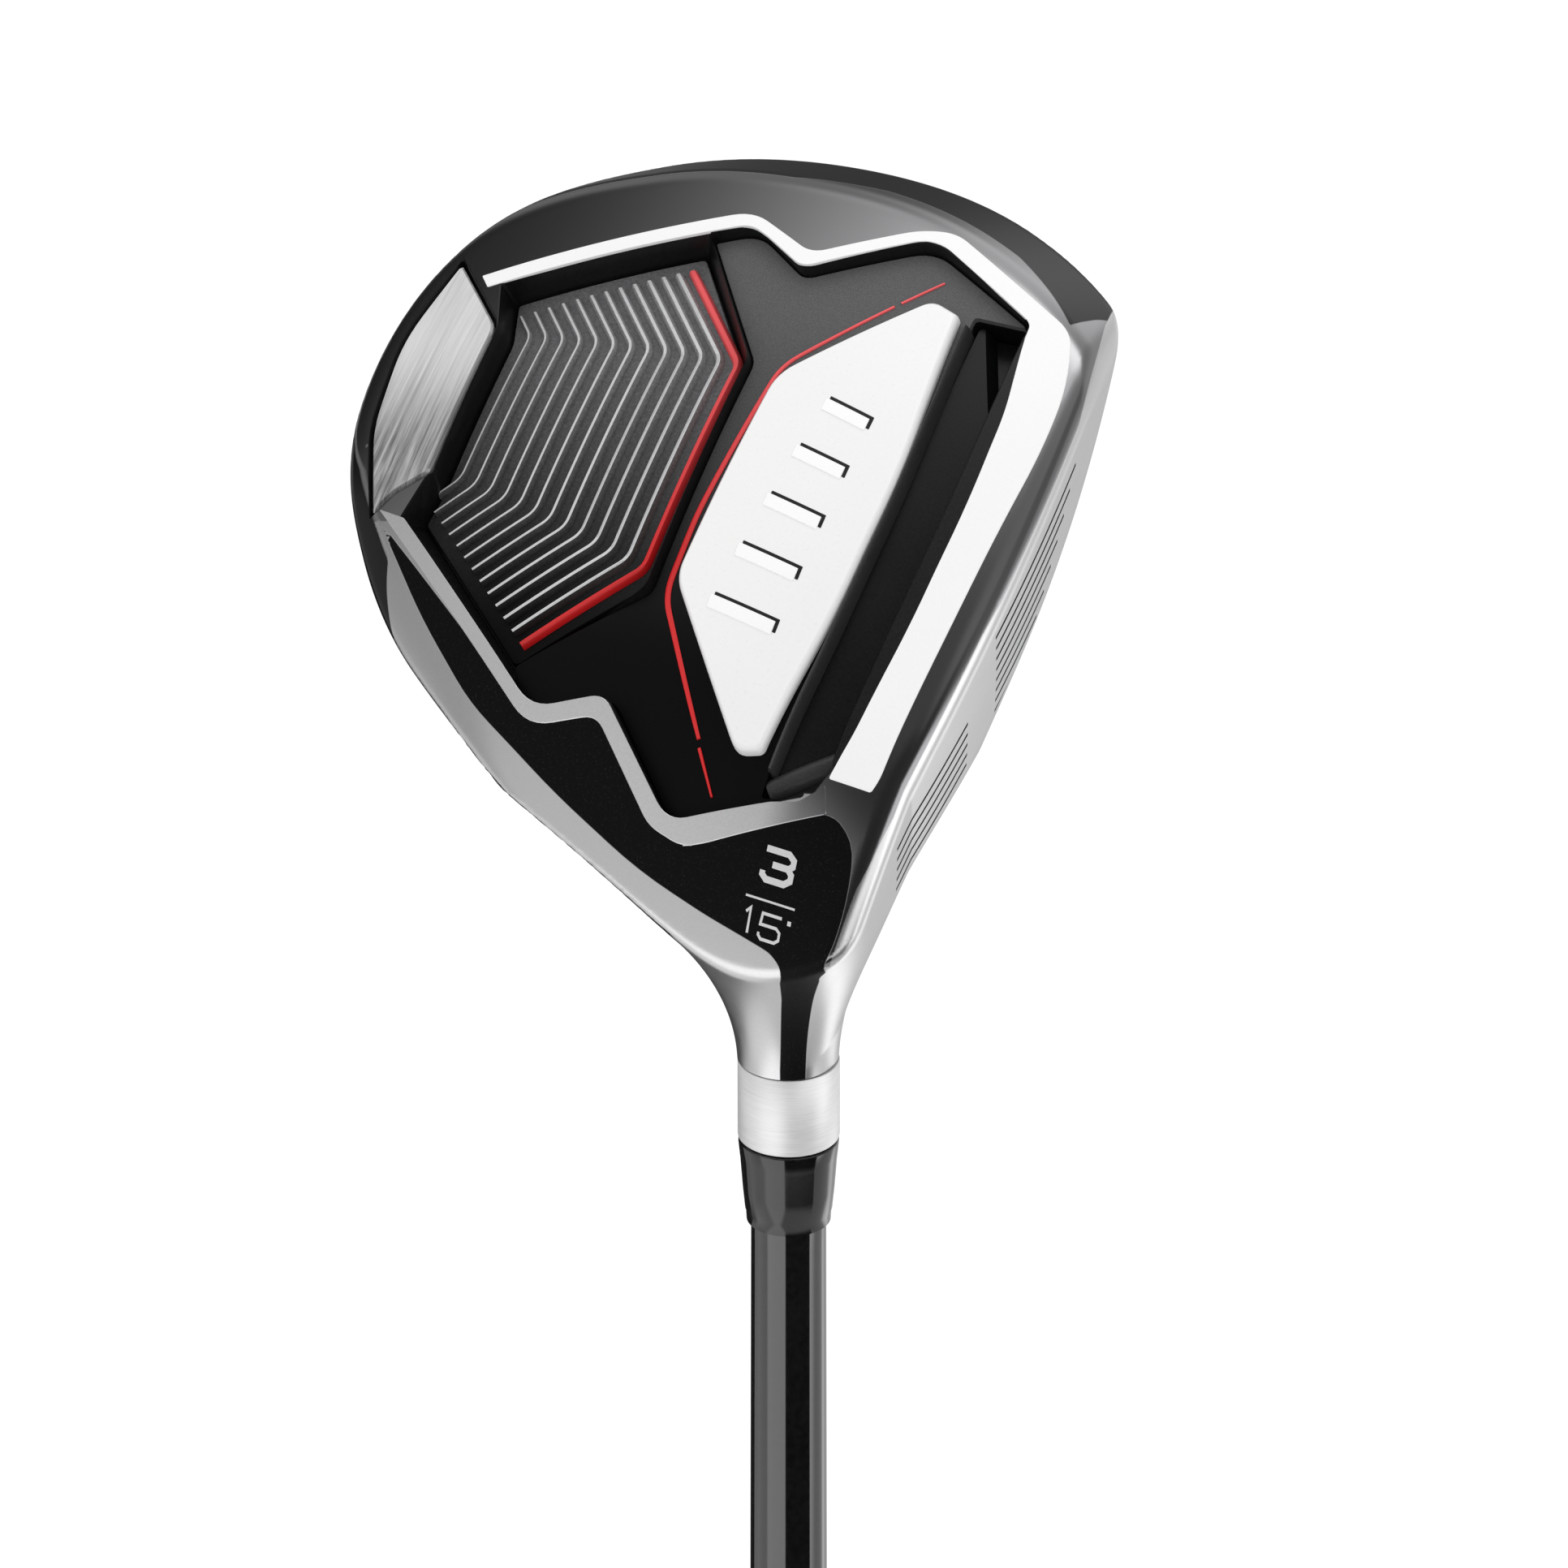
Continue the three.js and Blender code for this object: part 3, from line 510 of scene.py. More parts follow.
class NodeTree:
    """Node trees are built by calls that pass sockets on, from one to the next."""

    def __init__(self, tree):
        self.nodes, self.links = tree.nodes, tree.links

    def feed(self, socket, value):
        if isinstance(value, bpy.types.NodeSocket):
            self.links.new(value, socket)
        elif isinstance(value, tuple) and len(value) == 3 and socket.type == "RGBA":
            socket.default_value = (*value, 1)
        else:
            socket.default_value = value

    def math(self, operation, *values):
        node = self.nodes.new("ShaderNodeMath")
        node.operation = operation
        for socket, value in zip(node.inputs, values):
            self.feed(socket, value)
        return node.outputs[0]

    def span(self, value, low, high, start=0.0, end=1.0, smooth=False):
        """Maps low..high of a value onto start..end."""
        node = self.nodes.new("ShaderNodeMapRange")
        if smooth:
            node.interpolation_type = "SMOOTHSTEP"
        for socket, item in zip(node.inputs, (value, low, high, start, end)):
            self.feed(socket, item)
        return node.outputs[0]


class Finish(NodeTree):
    """A material being built from nodes."""

    def __init__(self, name):
        self.material = bpy.data.materials.new(name)
        self.material.use_nodes = True
        super().__init__(self.material.node_tree)
        self.shader = self.nodes["Principled BSDF"]

    def set(self, **values):
        for name, value in values.items():
            self.feed(self.shader.inputs[name.replace("_", " ")], value)
        return self

    def place(self, scale=(1, 1, 1), turn=(0, 0, 0)):
        """Object coordinates in millimetres, turned and then stretched by scale."""
        mapping = self.nodes.new("ShaderNodeMapping")
        mapping.vector_type = "TEXTURE"
        mapping.inputs["Scale"].default_value = [MM / s for s in scale]
        mapping.inputs["Rotation"].default_value = turn
        self.links.new(self.nodes.new("ShaderNodeTexCoord").outputs["Object"], mapping.inputs["Vector"])
        return mapping.outputs["Vector"]

    def noise(self, scale, detail=3, stretch=(1, 1, 1), turn=(0, 0, 0), rough=0.55):
        """Noise between 0 and 1 with scale features to a millimetre."""
        node = self.nodes.new("ShaderNodeTexNoise")
        self.links.new(self.place(stretch, turn), node.inputs["Vector"])
        node.inputs["Scale"].default_value = scale
        node.inputs["Detail"].default_value = detail
        node.inputs["Roughness"].default_value = rough
        return node.outputs["Fac"]

    def scaled(self, colour, factor):
        node = self.nodes.new("ShaderNodeVectorMath")
        node.operation = "SCALE"
        self.feed(node.inputs[0], colour)
        self.feed(node.inputs["Scale"], factor)
        return node.outputs[0]

    def mix(self, share, a, b):
        """Blend of two colours or, for plain numbers, of two values."""
        node = self.nodes.new("ShaderNodeMix")
        colour = any(isinstance(v, tuple) or getattr(v, "type", "") == "RGBA" for v in (a, b))
        node.data_type = "RGBA" if colour else "FLOAT"
        inputs = [s for s in node.inputs if s.enabled and s.name in ("Factor", "A", "B")]
        for socket, value in zip(inputs, (share, a, b)):
            self.feed(socket, value)
        return next(s for s in node.outputs if s.enabled)

    def attribute(self, name):
        node = self.nodes.new("ShaderNodeAttribute")
        node.attribute_name = name
        return node.outputs["Fac"]

    def bump(self, height, depth_mm):
        node = self.nodes.new("ShaderNodeBump")
        node.inputs["Strength"].default_value = 1.0
        node.inputs["Distance"].default_value = depth_mm * MM
        self.links.new(height, node.inputs["Height"])
        self.set(Normal=node.outputs["Normal"])
        return self


def steel(name, colour, rough, stretch=(1, 1, 1), grain=3.0, depth=0.002, metal=1.0):
    """Bare steel with fine brushing or, unstretched, a blasted grain."""
    made = Finish(name)
    lines = made.noise(grain, 4, stretch, rough=0.7)
    made.set(
        Base_Color=made.scaled(colour, made.span(lines, 0.3, 0.7, 0.86, 1.04)),
        Metallic=metal,
        Roughness=made.span(lines, 0.25, 0.75, rough * 0.85, rough * 1.25),
    )
    return made.bump(lines, depth).material


def polymer(name, colour, rough, grain=4.0, depth=0.01, coat=0.0, speckle=0.25, specular=0.5):
    """Moulded or painted plastic with a fine grain and slight changes of tone."""
    made = Finish(name)
    fine = made.noise(grain, 3)
    broad = made.noise(0.08, 2)
    pale = tuple(min(c * (1 + speckle) + 0.004, 1) for c in colour)
    dark = tuple(c * (1 - speckle) for c in colour)
    share = made.math("ADD", made.math("MULTIPLY", fine, 0.7), made.math("MULTIPLY", broad, 0.3))
    made.set(
        Base_Color=made.mix(made.span(share, 0.35, 0.65), dark, pale),
        Roughness=made.span(fine, 0.3, 0.7, rough * 0.88, rough * 1.12),
        Coat_Weight=coat,
        Coat_Roughness=0.04,
        Specular_IOR_Level=specular,
    )
    return made.bump(fine, depth).material


def head_finish():
    """Paint and bare steel zones of the head, split where signed distances kept on the mesh change sign."""
    made = Finish("head_finish")
    grain = made.noise(5, 3)
    brushed = made.noise(1.2, 4, (1, 0.06, 1), (0.2, 0.1, 0), 0.6)

    def zone(name, soft=0.06):
        return made.span(made.attribute(name), -soft, soft)

    def over(share, new, old):
        return made.mix(share, old, new)

    crown, satin, bare, front = zone("crown"), zone("satin"), zone("bare"), zone("front")
    steel_tone = made.mix(made.span(grain, 0.3, 0.7), (0.79, 0.79, 0.80), (0.84, 0.84, 0.85))
    black_tone = made.mix(made.span(grain, 0.58, 0.74), (0.0025, 0.0025, 0.003), (0.016, 0.016, 0.017))
    colour = over(crown, (0.004, 0.004, 0.0045), DARK_PLATING)
    colour = over(bare, steel_tone, colour)
    colour = over(satin, black_tone, colour)
    colour = over(front, steel_tone, colour)
    metal = over(crown, 0.0, 1.0)
    metal = over(front, 1.0, over(satin, 0.0, over(bare, 1.0, metal)))
    rough_steel = made.span(brushed, 0.3, 0.7, 0.29, 0.33)
    rough = over(crown, 0.12, DARK_PLATING_ROUGH)
    rough = over(front, rough_steel, over(satin, 0.42, over(bare, rough_steel, rough)))
    matt = made.math("MAXIMUM", made.math("MAXIMUM", satin, bare), front)
    glint = over(front, 0.5, over(satin, 0.1, over(bare, 0.5, over(crown, 0.4, 0.5))))
    made.set(Base_Color=colour, Metallic=metal, Roughness=rough, Specular_IOR_Level=glint)
    return made.bump(made.math("MULTIPLY", grain, matt), 0.0006).material


def red_with_painted_highlight():
    """Red paint with a painted highlight: the colour turns pinker up the lines, towards the toe."""
    made = Finish("red_with_painted_highlight")
    fine = made.noise(4, 2)
    # Painted highlight: the red pales to pink up the lines, towards the toe.
    up = made.span(made.attribute("toe_share"), 0.35, 0.95)
    colour = made.mix(up, SIGNAL_RED, PAINTED_HIGHLIGHT_RED)
    made.set(Base_Color=colour, Roughness=made.span(fine, 0.3, 0.7, 0.3, 0.42))
    return made.bump(fine, 0.004).material


def floor_paint_with_painted_reflection(name, heel, toe, rough, grain, depth):
    """Dark grained satin paint with a painted reflection: its colour is paler towards the toe."""
    made = Finish(name)
    fine = made.noise(grain, 4, rough=0.7)
    # Painted reflection: the colour fades from the heel tone to the paler toe tone.
    tone = made.mix(made.span(made.attribute("toe_share"), 0.15, 1.0, smooth=True), heel, toe)
    speckled = made.scaled(tone, made.span(fine, 0.4, 0.75, 0.75, 1.35))
    made.set(Base_Color=speckled, Roughness=rough, Specular_IOR_Level=0.15)
    return made.bump(fine, depth).material


def knurled_rubber(name):
    made = Finish(name)
    fine = made.noise(2.2, 4)
    made.set(
        Base_Color=made.mix(made.span(fine, 0.3, 0.7), (0.014, 0.014, 0.014), (0.034, 0.034, 0.034)),
        Roughness=made.span(fine, 0.3, 0.7, 0.62, 0.85),
    )
    return made.bump(fine, 0.03).material


def heel_trim_with_painted_reflection():
    """The heel's bare trim, with a painted reflection: its colour fades from bright steel into the dark
    plating colour where it meets the slot.
    """
    made = Finish("heel_trim_steel")
    fine = made.noise(4, 3)
    # Painted reflection: bright steel where lit_share is 1, the dark plating colour towards the slot.
    share = made.span(made.attribute("lit_share"), 0, 1, smooth=True)
    tone = made.mix(made.span(fine, 0.3, 0.7), (0.70, 0.70, 0.71), (0.77, 0.77, 0.78))
    made.set(
        Base_Color=made.mix(share, DARK_PLATING, tone),
        Metallic=made.mix(share, 1.0, 0.75),
        Roughness=made.mix(share, DARK_PLATING_ROUGH, 0.34),
    )
    return made.bump(fine, 0.002).material


def brushed_weight():
    """Steel brushed from heel to toe in long uneven streaks, with a painted reflection: darker towards the
    heel and brighter towards the toe.
    """
    made = Finish("weight_brushed")
    turn = (math.pi / 2 - LIE, 0, 0)
    fine = made.noise(7, 3, (1, 0.012, 0.3), turn, 0.8)
    coarse = made.noise(1.6, 2, (1, 0.03, 0.3), turn, 0.6)
    streaks = made.math("ADD", made.math("MULTIPLY", fine, 0.55), made.math("MULTIPLY", coarse, 0.45))
    # Painted reflection: darker streaks towards the heel, bright ones towards the toe.
    painted_reflection_share = made.span(made.attribute("toe_share"), 0.45, 0.72, smooth=True)
    shaded_streaks = made.mix(made.span(streaks, 0.38, 0.62), (0.16, 0.16, 0.165), (0.62, 0.62, 0.63))
    lit_streaks = made.mix(made.span(streaks, 0.38, 0.62), (0.78, 0.78, 0.79), (0.98, 0.98, 0.98))
    made.set(
        Base_Color=made.mix(painted_reflection_share, shaded_streaks, lit_streaks),
        Metallic=0.4,
        Roughness=made.span(streaks, 0.3, 0.7, 0.28, 0.42),
    )
    return made.bump(streaks, 0.012).material


FINISH = {
    "head": head_finish(),
    "trim_pale": polymer("toe_trim_silver", (0.84, 0.84, 0.84), 0.36, 4, 0.0004, speckle=0.012),
    "trim": heel_trim_with_painted_reflection(),
    "recess": polymer("recess_paint", (0.0035, 0.0035, 0.004), 0.32, 4, 0.004, specular=0.3),
    # The inlay, badge floor and rib sides carry a painted reflection, paler towards the toe.
    "inlay": floor_paint_with_painted_reflection("inlay_grain_painted_reflection", (0.0014, 0.0014, 0.0016), (0.11, 0.11, 0.112), 0.5, 7, 0.012),
    "badge": floor_paint_with_painted_reflection("badge_painted_reflection", (0.002, 0.002, 0.002), (0.15, 0.15, 0.155), 0.4, 3, 0.004),
    "rib": steel("rib_steel", (0.88, 0.88, 0.89), 0.34, grain=4.0, depth=0.001, metal=0.55),
    "rib_side": floor_paint_with_painted_reflection("rib_side_painted_reflection", (0.012, 0.012, 0.012), (0.3, 0.3, 0.305), 0.4, 3, 0.002),
    "red": red_with_painted_highlight(),
    "panel": polymer("panel_white", (0.81, 0.81, 0.808), 0.3, 2, 0.0003, coat=0.3, speckle=0.006),
    # Black for the painted shadow lines beside the panel's bars.
    "mark": polymer("painted_shadow_black", (0.004, 0.004, 0.004), 0.4, 3, 0.002),
    "mark_pale": polymer("mark_white", (0.88, 0.88, 0.88), 0.25, 4, 0.001, coat=0.5, speckle=0.01),
    "slot": polymer("slot_polymer", (0.0065, 0.0065, 0.007), 0.36, 5, 0.006, specular=0.35),
    # A paler copy of the slot polymer: a painted highlight on the slot's rim and fold.
    "slot_edge": polymer("slot_polymer_painted_highlight", (0.03, 0.03, 0.031), 0.34, 5, 0.006, specular=0.6),
    "weight": brushed_weight(),
    "sleeve": steel("sleeve_brushed", (0.93, 0.93, 0.93), 0.42, (0.15, 0.15, 6), 1.4, 0.004, 0.6),
    "numeral": polymer("numeral_grey", (0.56, 0.56, 0.57), 0.35, 4, 0.001, speckle=0.05),
    "ferrule": polymer("ferrule_gloss", (0.002, 0.002, 0.002), 0.07, 2, 0.0003, coat=1.0, speckle=0.1),
    "shaft": polymer("shaft_gloss", (0.002, 0.002, 0.0025), 0.06, 1.2, 0.0004, 1.0, 0.15, 1.0),
    "score": polymer("score_paint", (0.02, 0.02, 0.021), 0.5, 4, 0.002),
    "grip": knurled_rubber("grip_rubber"),
    "cap": knurled_rubber("cap_rubber"),
    "glue": polymer("amber_glue", (0.5, 0.36, 0.16), 0.35, 1.5, 0.05),
    "brass": steel("plug_brass", (0.75, 0.52, 0.22), 0.3, (1, 1, 6)),
    "tape": polymer("tape_weave", (0.62, 0.55, 0.4), 0.75, 2, 0.03),
    "floor": polymer("floor_paper", (0.955, 0.955, 0.955), 0.9, 0.02, 0.01, speckle=0.001, specular=0.05),
}


# ---------------------------------------------------------------- handing a piece over

def points_of(made):
    places = np.empty(len(made.data.vertices) * 3)
    made.data.vertices.foreach_get("co", places)
    return places.reshape(-1, 3)


def keep(made, name, values):
    """Stores one number for each vertex under a name that finishes can read."""
    attribute = made.data.attributes.new(name, "FLOAT", "POINT")
    attribute.data.foreach_set("value", np.asarray(values, np.float32))


def finished(made, name, finish, node, to_row=HEAD_TO_ROW, replaces=False):
    """Moves a piece into the row's frame, names it, gives it its finish, hangs it from the root body and
    hides the CAD piece that it replaces.
    """
    made.name = made.data.name = name
    if to_row is HEAD_TO_ROW:
        places = points_of(made)
        # toe_share and lit_share place the painted highlights and painted reflections: the red lines' pink,
        # the floors' paler toe, the weight's bright streaks and the heel trim's bright steel.
        keep(made, "toe_share", np.clip((places[:, 1] + 10) / 70, 0, 1))
        keep(made, "lit_share", np.clip((places[:, 0] + 4.5) / 5.5, 0, 1))
    made.data.transform(to_row)
    finishes = finish if isinstance(finish, tuple) else (finish,)
    which = np.zeros(len(made.data.polygons), np.int32)
    made.data.polygons.foreach_get("material_index", which)
    made.data.materials.clear()
    for item in finishes:
        made.data.materials.append(FINISH[item])
    made.data.polygons.foreach_set("material_index", np.minimum(which, len(finishes) - 1))
    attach(made, "root")
    if replaces:
        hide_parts(node)
    return made


def stands_for(made, node, finish, to_row=HEAD_TO_ROW):
    return finished(made, node + "_piece", finish, node, to_row, replaces=True)


def detail_on(made, name, node, finish, to_row=HEAD_TO_ROW):
    return finished(made, name, finish, node, to_row)


# ---------------------------------------------------------------- outlines of the sole's features

WEIGHT = [
    (71.5, 51.5, 0.5), (61.2, 41.8, 1.6), (60.6, 20, 0.6), (64.5, 17, 0.4), (66.4, 14, 0.4),
    (72.2, 26, 3), (74.2, 39, 4),
]
RECESS = [
    (38.4, 59.3, 0.4), (32.6, 61.9, 2.6), (23.8, 56.4, 1.4), (10, 65, 3), (-5.8, 57.5, 0.4), (-4, 48, 2),
    (-4, 0, 2), (-3.6, -10.2, 0.4), (11.8, -17.2, 3), (23.9, -5, 1.5), (33.3, -8.6, 2.6), (37.6, -5.2, 0.4),
    (39, -2.8, 0.6), (24.3, 9.4, 1.2), (24.6, 42.2, 1.2),
]
POCKET_LIP = [
    (63.6, 48.4, 0.5), (38.4, 59.7, 0.6), (24.6, 42.2, 1.2), (24.3, 9.4, 1.2), (36.6, -6.3, 1.2),
    (61.6, 13.3, 0.6), (60.2, 20, 0.6), (60.6, 41.8, 1.2),
]
POCKET_FLOOR = [
    (62.4, 48.2, 0.5), (39.4, 58.2, 0.6), (26, 42, 1.2), (26, 11, 1.2), (39.6, -1.8, 1),
    (60.2, 15.2, 0.5), (59.4, 20, 0.6), (60, 41.9, 1),
]
SLOT = [
    (0.6, 56.2, 0.6), (-6.2, 56.8, 0.8), (-8.6, 28, 12), (-6.2, -5.6, 0.4), (-4.6, -9.2, 0.4),
    (1.6, -10.6, 0.6), (-0.8, 28, 12),
]
PANEL = [
    (2.2, 55.4, 0.5), (6.2, 56.6, 1.4), (20.2, 40.8, 2.4), (21.3, 11.4, 2), (6.2, -7.4, 1.6),
    (3, -6.4, 0.6), (0.2, 12, 6), (-0.4, 32, 6),
]
FACE = [
    (49, 9.5, 5), (34, 26.5, 9), (6, 31, 6), (-15, 29, 4), (-15, 21, 3), (-4, 14, 5), (14, 10, 5),
]
TOE_TRIM_AND_STRIPE = [
    (67.2, 49.5, 0.2), (34.1, 63.7, 2.8), (23.6, 58.8, 2), (12, 66, 2.2), (7.6, 66.9, 2), (-8, 59.2, 2),
    (-11.7, 57.5, 2.4), (-14.6, 50, 5), (-15.4, 39.6, 5), (-14.1, 15, 6), (-12.3, -6, 1.2),
    (-11.7, -7.6, 0.3), (-6.3, -7.6, 0.3), (-7.7, -1.4, 2), (-9.4, 13, 5), (-10.0, 30, 6), (-9.2, 43.5, 3),
    (-7.2, 53.5, 1), (-6.8, 56.4, 0.4),
    (-6.2, 57.1, 0.3), (8.7, 64.8, 2), (11.2, 64.4, 1.2), (23.8, 56.4, 1.6), (31, 60.5, 1.5),
    (33.6, 61.5, 1.5), (65.4, 47.7, 0.2),
]
HEEL_TRIM = [
    (65.5, 14.4, 0.3), (61.2, 13.4, 0.2), (33.5, -8.2, 3.2), (24.4, -5.0, 1.8), (12.1, -16.9, 2.6),
    (-0.1, -11.9, 0.3), (-3.5, -11.0, 0.8), (-6.2, -8.4, 0.3), (-7.2, -11.4, 0.3), (7.5, -18.4, 2),
    (9.8, -19.0, 1.6), (14.4, -17.8, 1.5), (24.6, -7.6, 1.8), (33.3, -10.4, 3.4),
]
SATIN_HEEL = [
    (64.8, 12.9, 0.3), (52.6, 0.3, 5), (42.1, -8.8, 4), (27.3, -16.9, 5), (14.5, -22.5, 5), (5, -24.9, 2),
    (-4.4, -26.7, 1.4), (-6.8, -29.4, 0.8), (-8.4, -29.8, 0.5), (-11.2, -25, 2), (-12.1, -19.5, 3),
    (-11.4, -12.9, 3), (-7.4, -11.0, 2), (7.5, -17.8, 1.5), (10, -18.4, 1.6), (14, -17.4, 1.5),
    (24.5, -6.9, 1.8), (33.3, -9.6, 3.2),
]

# The badge's ribs: place, width and heel bend go from the first, red rib's to the last one's.
RIB_X = (27.3, 57.6)
RIB_WIDTH = (0.9, 0.5)
RIB_HEEL_BEND = (13.2, 21.6)
RIB_TOE_BEND = 43
RIB_LEG = 17
RIBBED_AREA = [
    (61, 45.8, 0.3), (39.4, 55.8, 0.3), (26, 43, 1), (26, 13, 1), (38.8, 0.2, 0.3), (60, 17.2, 0.3),
]

SCORE_COUNT = 8
SCORE_LOWEST = 10.6
SCORE_PITCH = 2.6
SCORE_HALF_WIDTH = 0.36
SCORE_DEPTH = 0.35
SCORE_GAP = (9, 17)


# ---------------------------------------------------------------- the head's pieces

UP_FACE = np.array([math.sin(LOFT), 0, math.cos(LOFT)])
OUT_OF_FACE = np.array([-math.cos(LOFT), 0, math.sin(LOFT)])
TO_HEAD = HEAD_TO_ROW.inverted() @ CLUB_TO_ROW


def turned(name, profile, hollow=True, segments=96, relief=None):
    """Solid of revolution about the shaft's axis from (radius, z) points."""
    turn = np.linspace(0, 2 * np.pi, segments, endpoint=False)
    rings = []
    for radius, z in profile:
        around = radius + (relief(turn, radius, z) if relief else 0 * turn)
        rings.append(np.stack([around * np.cos(turn), around * np.sin(turn), 0 * turn + z], axis=1))
    return tube(name, rings, capped=not hollow)


def height(along):
    return LENGTH_TO_GROUND - along


def axis_cylinder(radius, low, high):
    made = turned("cutter", [(radius, height(low)), (radius, height(high))], hollow=False)
    made.data.transform(TO_HEAD)
    return made


def copy_of(source):
    made = source.copy()
    made.data = source.data.copy()
    bpy.context.scene.collection.objects.link(made)
    return made


def box_solid(low, high, turn=None):
    (x0, y0, z0), (x1, y1, z1) = low, high
    rings = [[(x0, y0, z), (x1, y0, z), (x1, y1, z), (x0, y1, z)] for z in (z0, z1)]
    made = tube("box", rings)
    if turn:
        made.data.transform(turn)
    return made


def crown_region():
    region = box_solid((-60, -60, 15), (110, 110, 90))
    tilted = Matrix.Translation((-11.5, 0, 0)) @ Matrix.Rotation(LOFT, 4, "Y")
    combined(region, box_solid((-160, -80, -80), (0, 120, 120), tilted), "DIFFERENCE")
    return combined(region, axis_cylinder(20, -10, 80), "DIFFERENCE")


def face_plug():
    outline = rounded(FACE)
    base = np.array([-20.5, 0, 0]) + outline[:, :1] * np.array([0, 1, 0]) + outline[:, 1:] * UP_FACE
    return tube("cutter", [base + OUT_OF_FACE * reach for reach in (5, -7)])


def score_groove(lift, start, end):
    y = np.linspace(start, end, 15)
    z = np.full_like(y, lift * math.cos(LOFT))
    centre = np.column_stack([face_x(y, z), y, z])
    wide, narrow, above = SCORE_HALF_WIDTH, SCORE_HALF_WIDTH / 2, 0.4
    section = (
        (-wide, above), (wide, above), (wide, 0), (narrow, -SCORE_DEPTH), (-narrow, -SCORE_DEPTH), (-wide, 0),
    )
    return tube("groove", np.stack([centre + UP_FACE * a + OUT_OF_FACE * b for a, b in section], axis=1))


def score_grooves():
    grooves = []
    for line in range(SCORE_COUNT):
        lift = SCORE_LOWEST + line * SCORE_PITCH
        grooves.append(score_groove(lift, SCORE_GAP[1], 43 - 2.2 * line))
        if line > 2:
            grooves.append(score_groove(lift, -10, SCORE_GAP[0]))
    return joined("grooves", grooves)


def cavity_distance(x, y, z):
    walls = np.maximum(head_distance(x, y, z) + SKIN_WALL, sole_distance(x, y, z) + SOLE_WALL)
    walls = np.maximum(walls, face_distance(x, y, z) + FACE_WALL)
    return np.maximum(walls, axis_place(x, y, z)[0] - SHAFT_TIP)


def skin_shell():
    """The head's skin and walls, hollow inside and closed behind the recess, pocket, slot and weight."""
    skin = mesh_object("skin", *contoured(head_distance, *HEAD_BOX, SKIN_STEP))
    room = mesh_object("room", *contoured(cavity_distance, *HEAD_BOX, ROOM_STEP))
    for outline, depth in ((RECESS, 4), (POCKET_LIP, 6.6), (SLOT, 8.7), (WEIGHT, 3.8)):
        combined(room, prism(rounded(grown(outline, 1)), depth), "DIFFERENCE")
    return combined(skin, room, "DIFFERENCE")


def head_normals(places):
    normals = sole_normals(places)
    on_skin = np.abs(head_distance(*places.T)) < 0.05
    normals[on_skin] = unit(slopes_at(head_distance, places[on_skin]))
    return normals


def polyline(value, stops):
    """Straight runs between (value, result) stops."""
    xs, ys = zip(*sorted(stops))
    return np.interp(value, xs, ys)


def inside_distance(x, y, outline):
    """Signed distance to a plan outline, positive inside it."""
    nearest, crossings = np.full(len(x), 1e9), np.zeros(len(x), int)
    for (ax, ay), (bx, by) in zip(outline, np.roll(outline, -1, axis=0)):
        ex, ey = bx - ax, by - ay
        share = np.clip(((x - ax) * ex + (y - ay) * ey) / max(ex * ex + ey * ey, 1e-9), 0, 1)
        nearest = np.minimum(nearest, np.hypot(x - ax - share * ex, y - ay - share * ey))
        spans = (ay > y) != (by > y)
        crossings += spans & (x < ax + (y - ay) * ex / (ey if ey else 1e-9))
    return np.where(crossings % 2, nearest, -nearest)


DEGREES_PER_RADIAN = 57.3

# The bare strip round the front of the sole, as (y, width); it widens at the heel and the toe.
LEADING_STRIP_WIDTHS = (
    (-20, 2.05), (-18, 2), (-15, 1.5), (-9, 0.83), (0, 0.74), (15, 0.8), (20, 0.5), (46, 0.5), (56, 1.5),
    (62, 2.2),
)


def paint_zones(made):
    """Signed distances, in mm, to the edges of the painted and bare zones; positive is inside."""
    x, y, z = points_of(made).T
    along, across = axis_place(x, y, z)
    turn = np.degrees(np.arctan2(y * AXIS_Z - z * AXIS_Y, x))
    sole = sole_distance(x, y, z)

    front = face_distance(x, y, z) + polyline(y, LEADING_STRIP_WIDTHS)

    # Satin black: along the heel's edge, then up the neck as a stripe.
    in_plan = np.minimum(inside_distance(x, y, rounded(SATIN_HEEL, steps=4, per_side=3)), sole + 2)
    arc = across / DEGREES_PER_RADIAN
    widening = np.clip((along - 38) / 12, 0, 1)
    on_neck = np.minimum(turn + 134 + 3 * widening, -113 + 5 * widening - turn) * arc
    satin = between(in_plan, on_neck, np.clip((along - 31.5) / 3, 0, 1))

    # Gloss black: above an edge that rises towards the neck and follows the sole at the toe, and on the
    # neck's far side.
    toe_limit = polyline(x, ((-12, 0.5), (-6, 1.3), (0, 2.0), (20, 2.0), (32, 0.6)))
    edge_height = polyline(x, ((4, 21), (16, 16.9), (29, 13.5), (36, 12.2), (46, 11.4)))
    heel_crown = np.maximum(z - edge_height, -sole - np.maximum(61 - x, 0) * 0.35 - 0.1)
    heel_crown = np.where(x < 46, z - edge_height, heel_crown)
    neck_crown = (88 - np.abs((turn - 58 + 180) % 360 - 180)) * arc
    toe_front = x - polyline(z, ((4.9, -10.8), (6.4, -11.3), (8, -12), (10, -13.2), (14, -15.5)))
    toe_crown = np.minimum(-sole - toe_limit, toe_front)
    crown = between(heel_crown, toe_crown, np.clip((y - 20) / 15, 0, 1))
    crown = between(crown, neck_crown, np.clip((along - 31) / 8, 0, 1))

    # Bare steel: the skirt at the heel, and the neck where it isn't black.
    heel_skirt = np.minimum(np.minimum(x + 5, 13 - y), -crown)
    bare = np.maximum(heel_skirt, np.minimum(along - 31.5, -crown))
    for name, values in (("front", front), ("satin", satin), ("crown", crown), ("bare", bare)):
        keep(made, name, values)


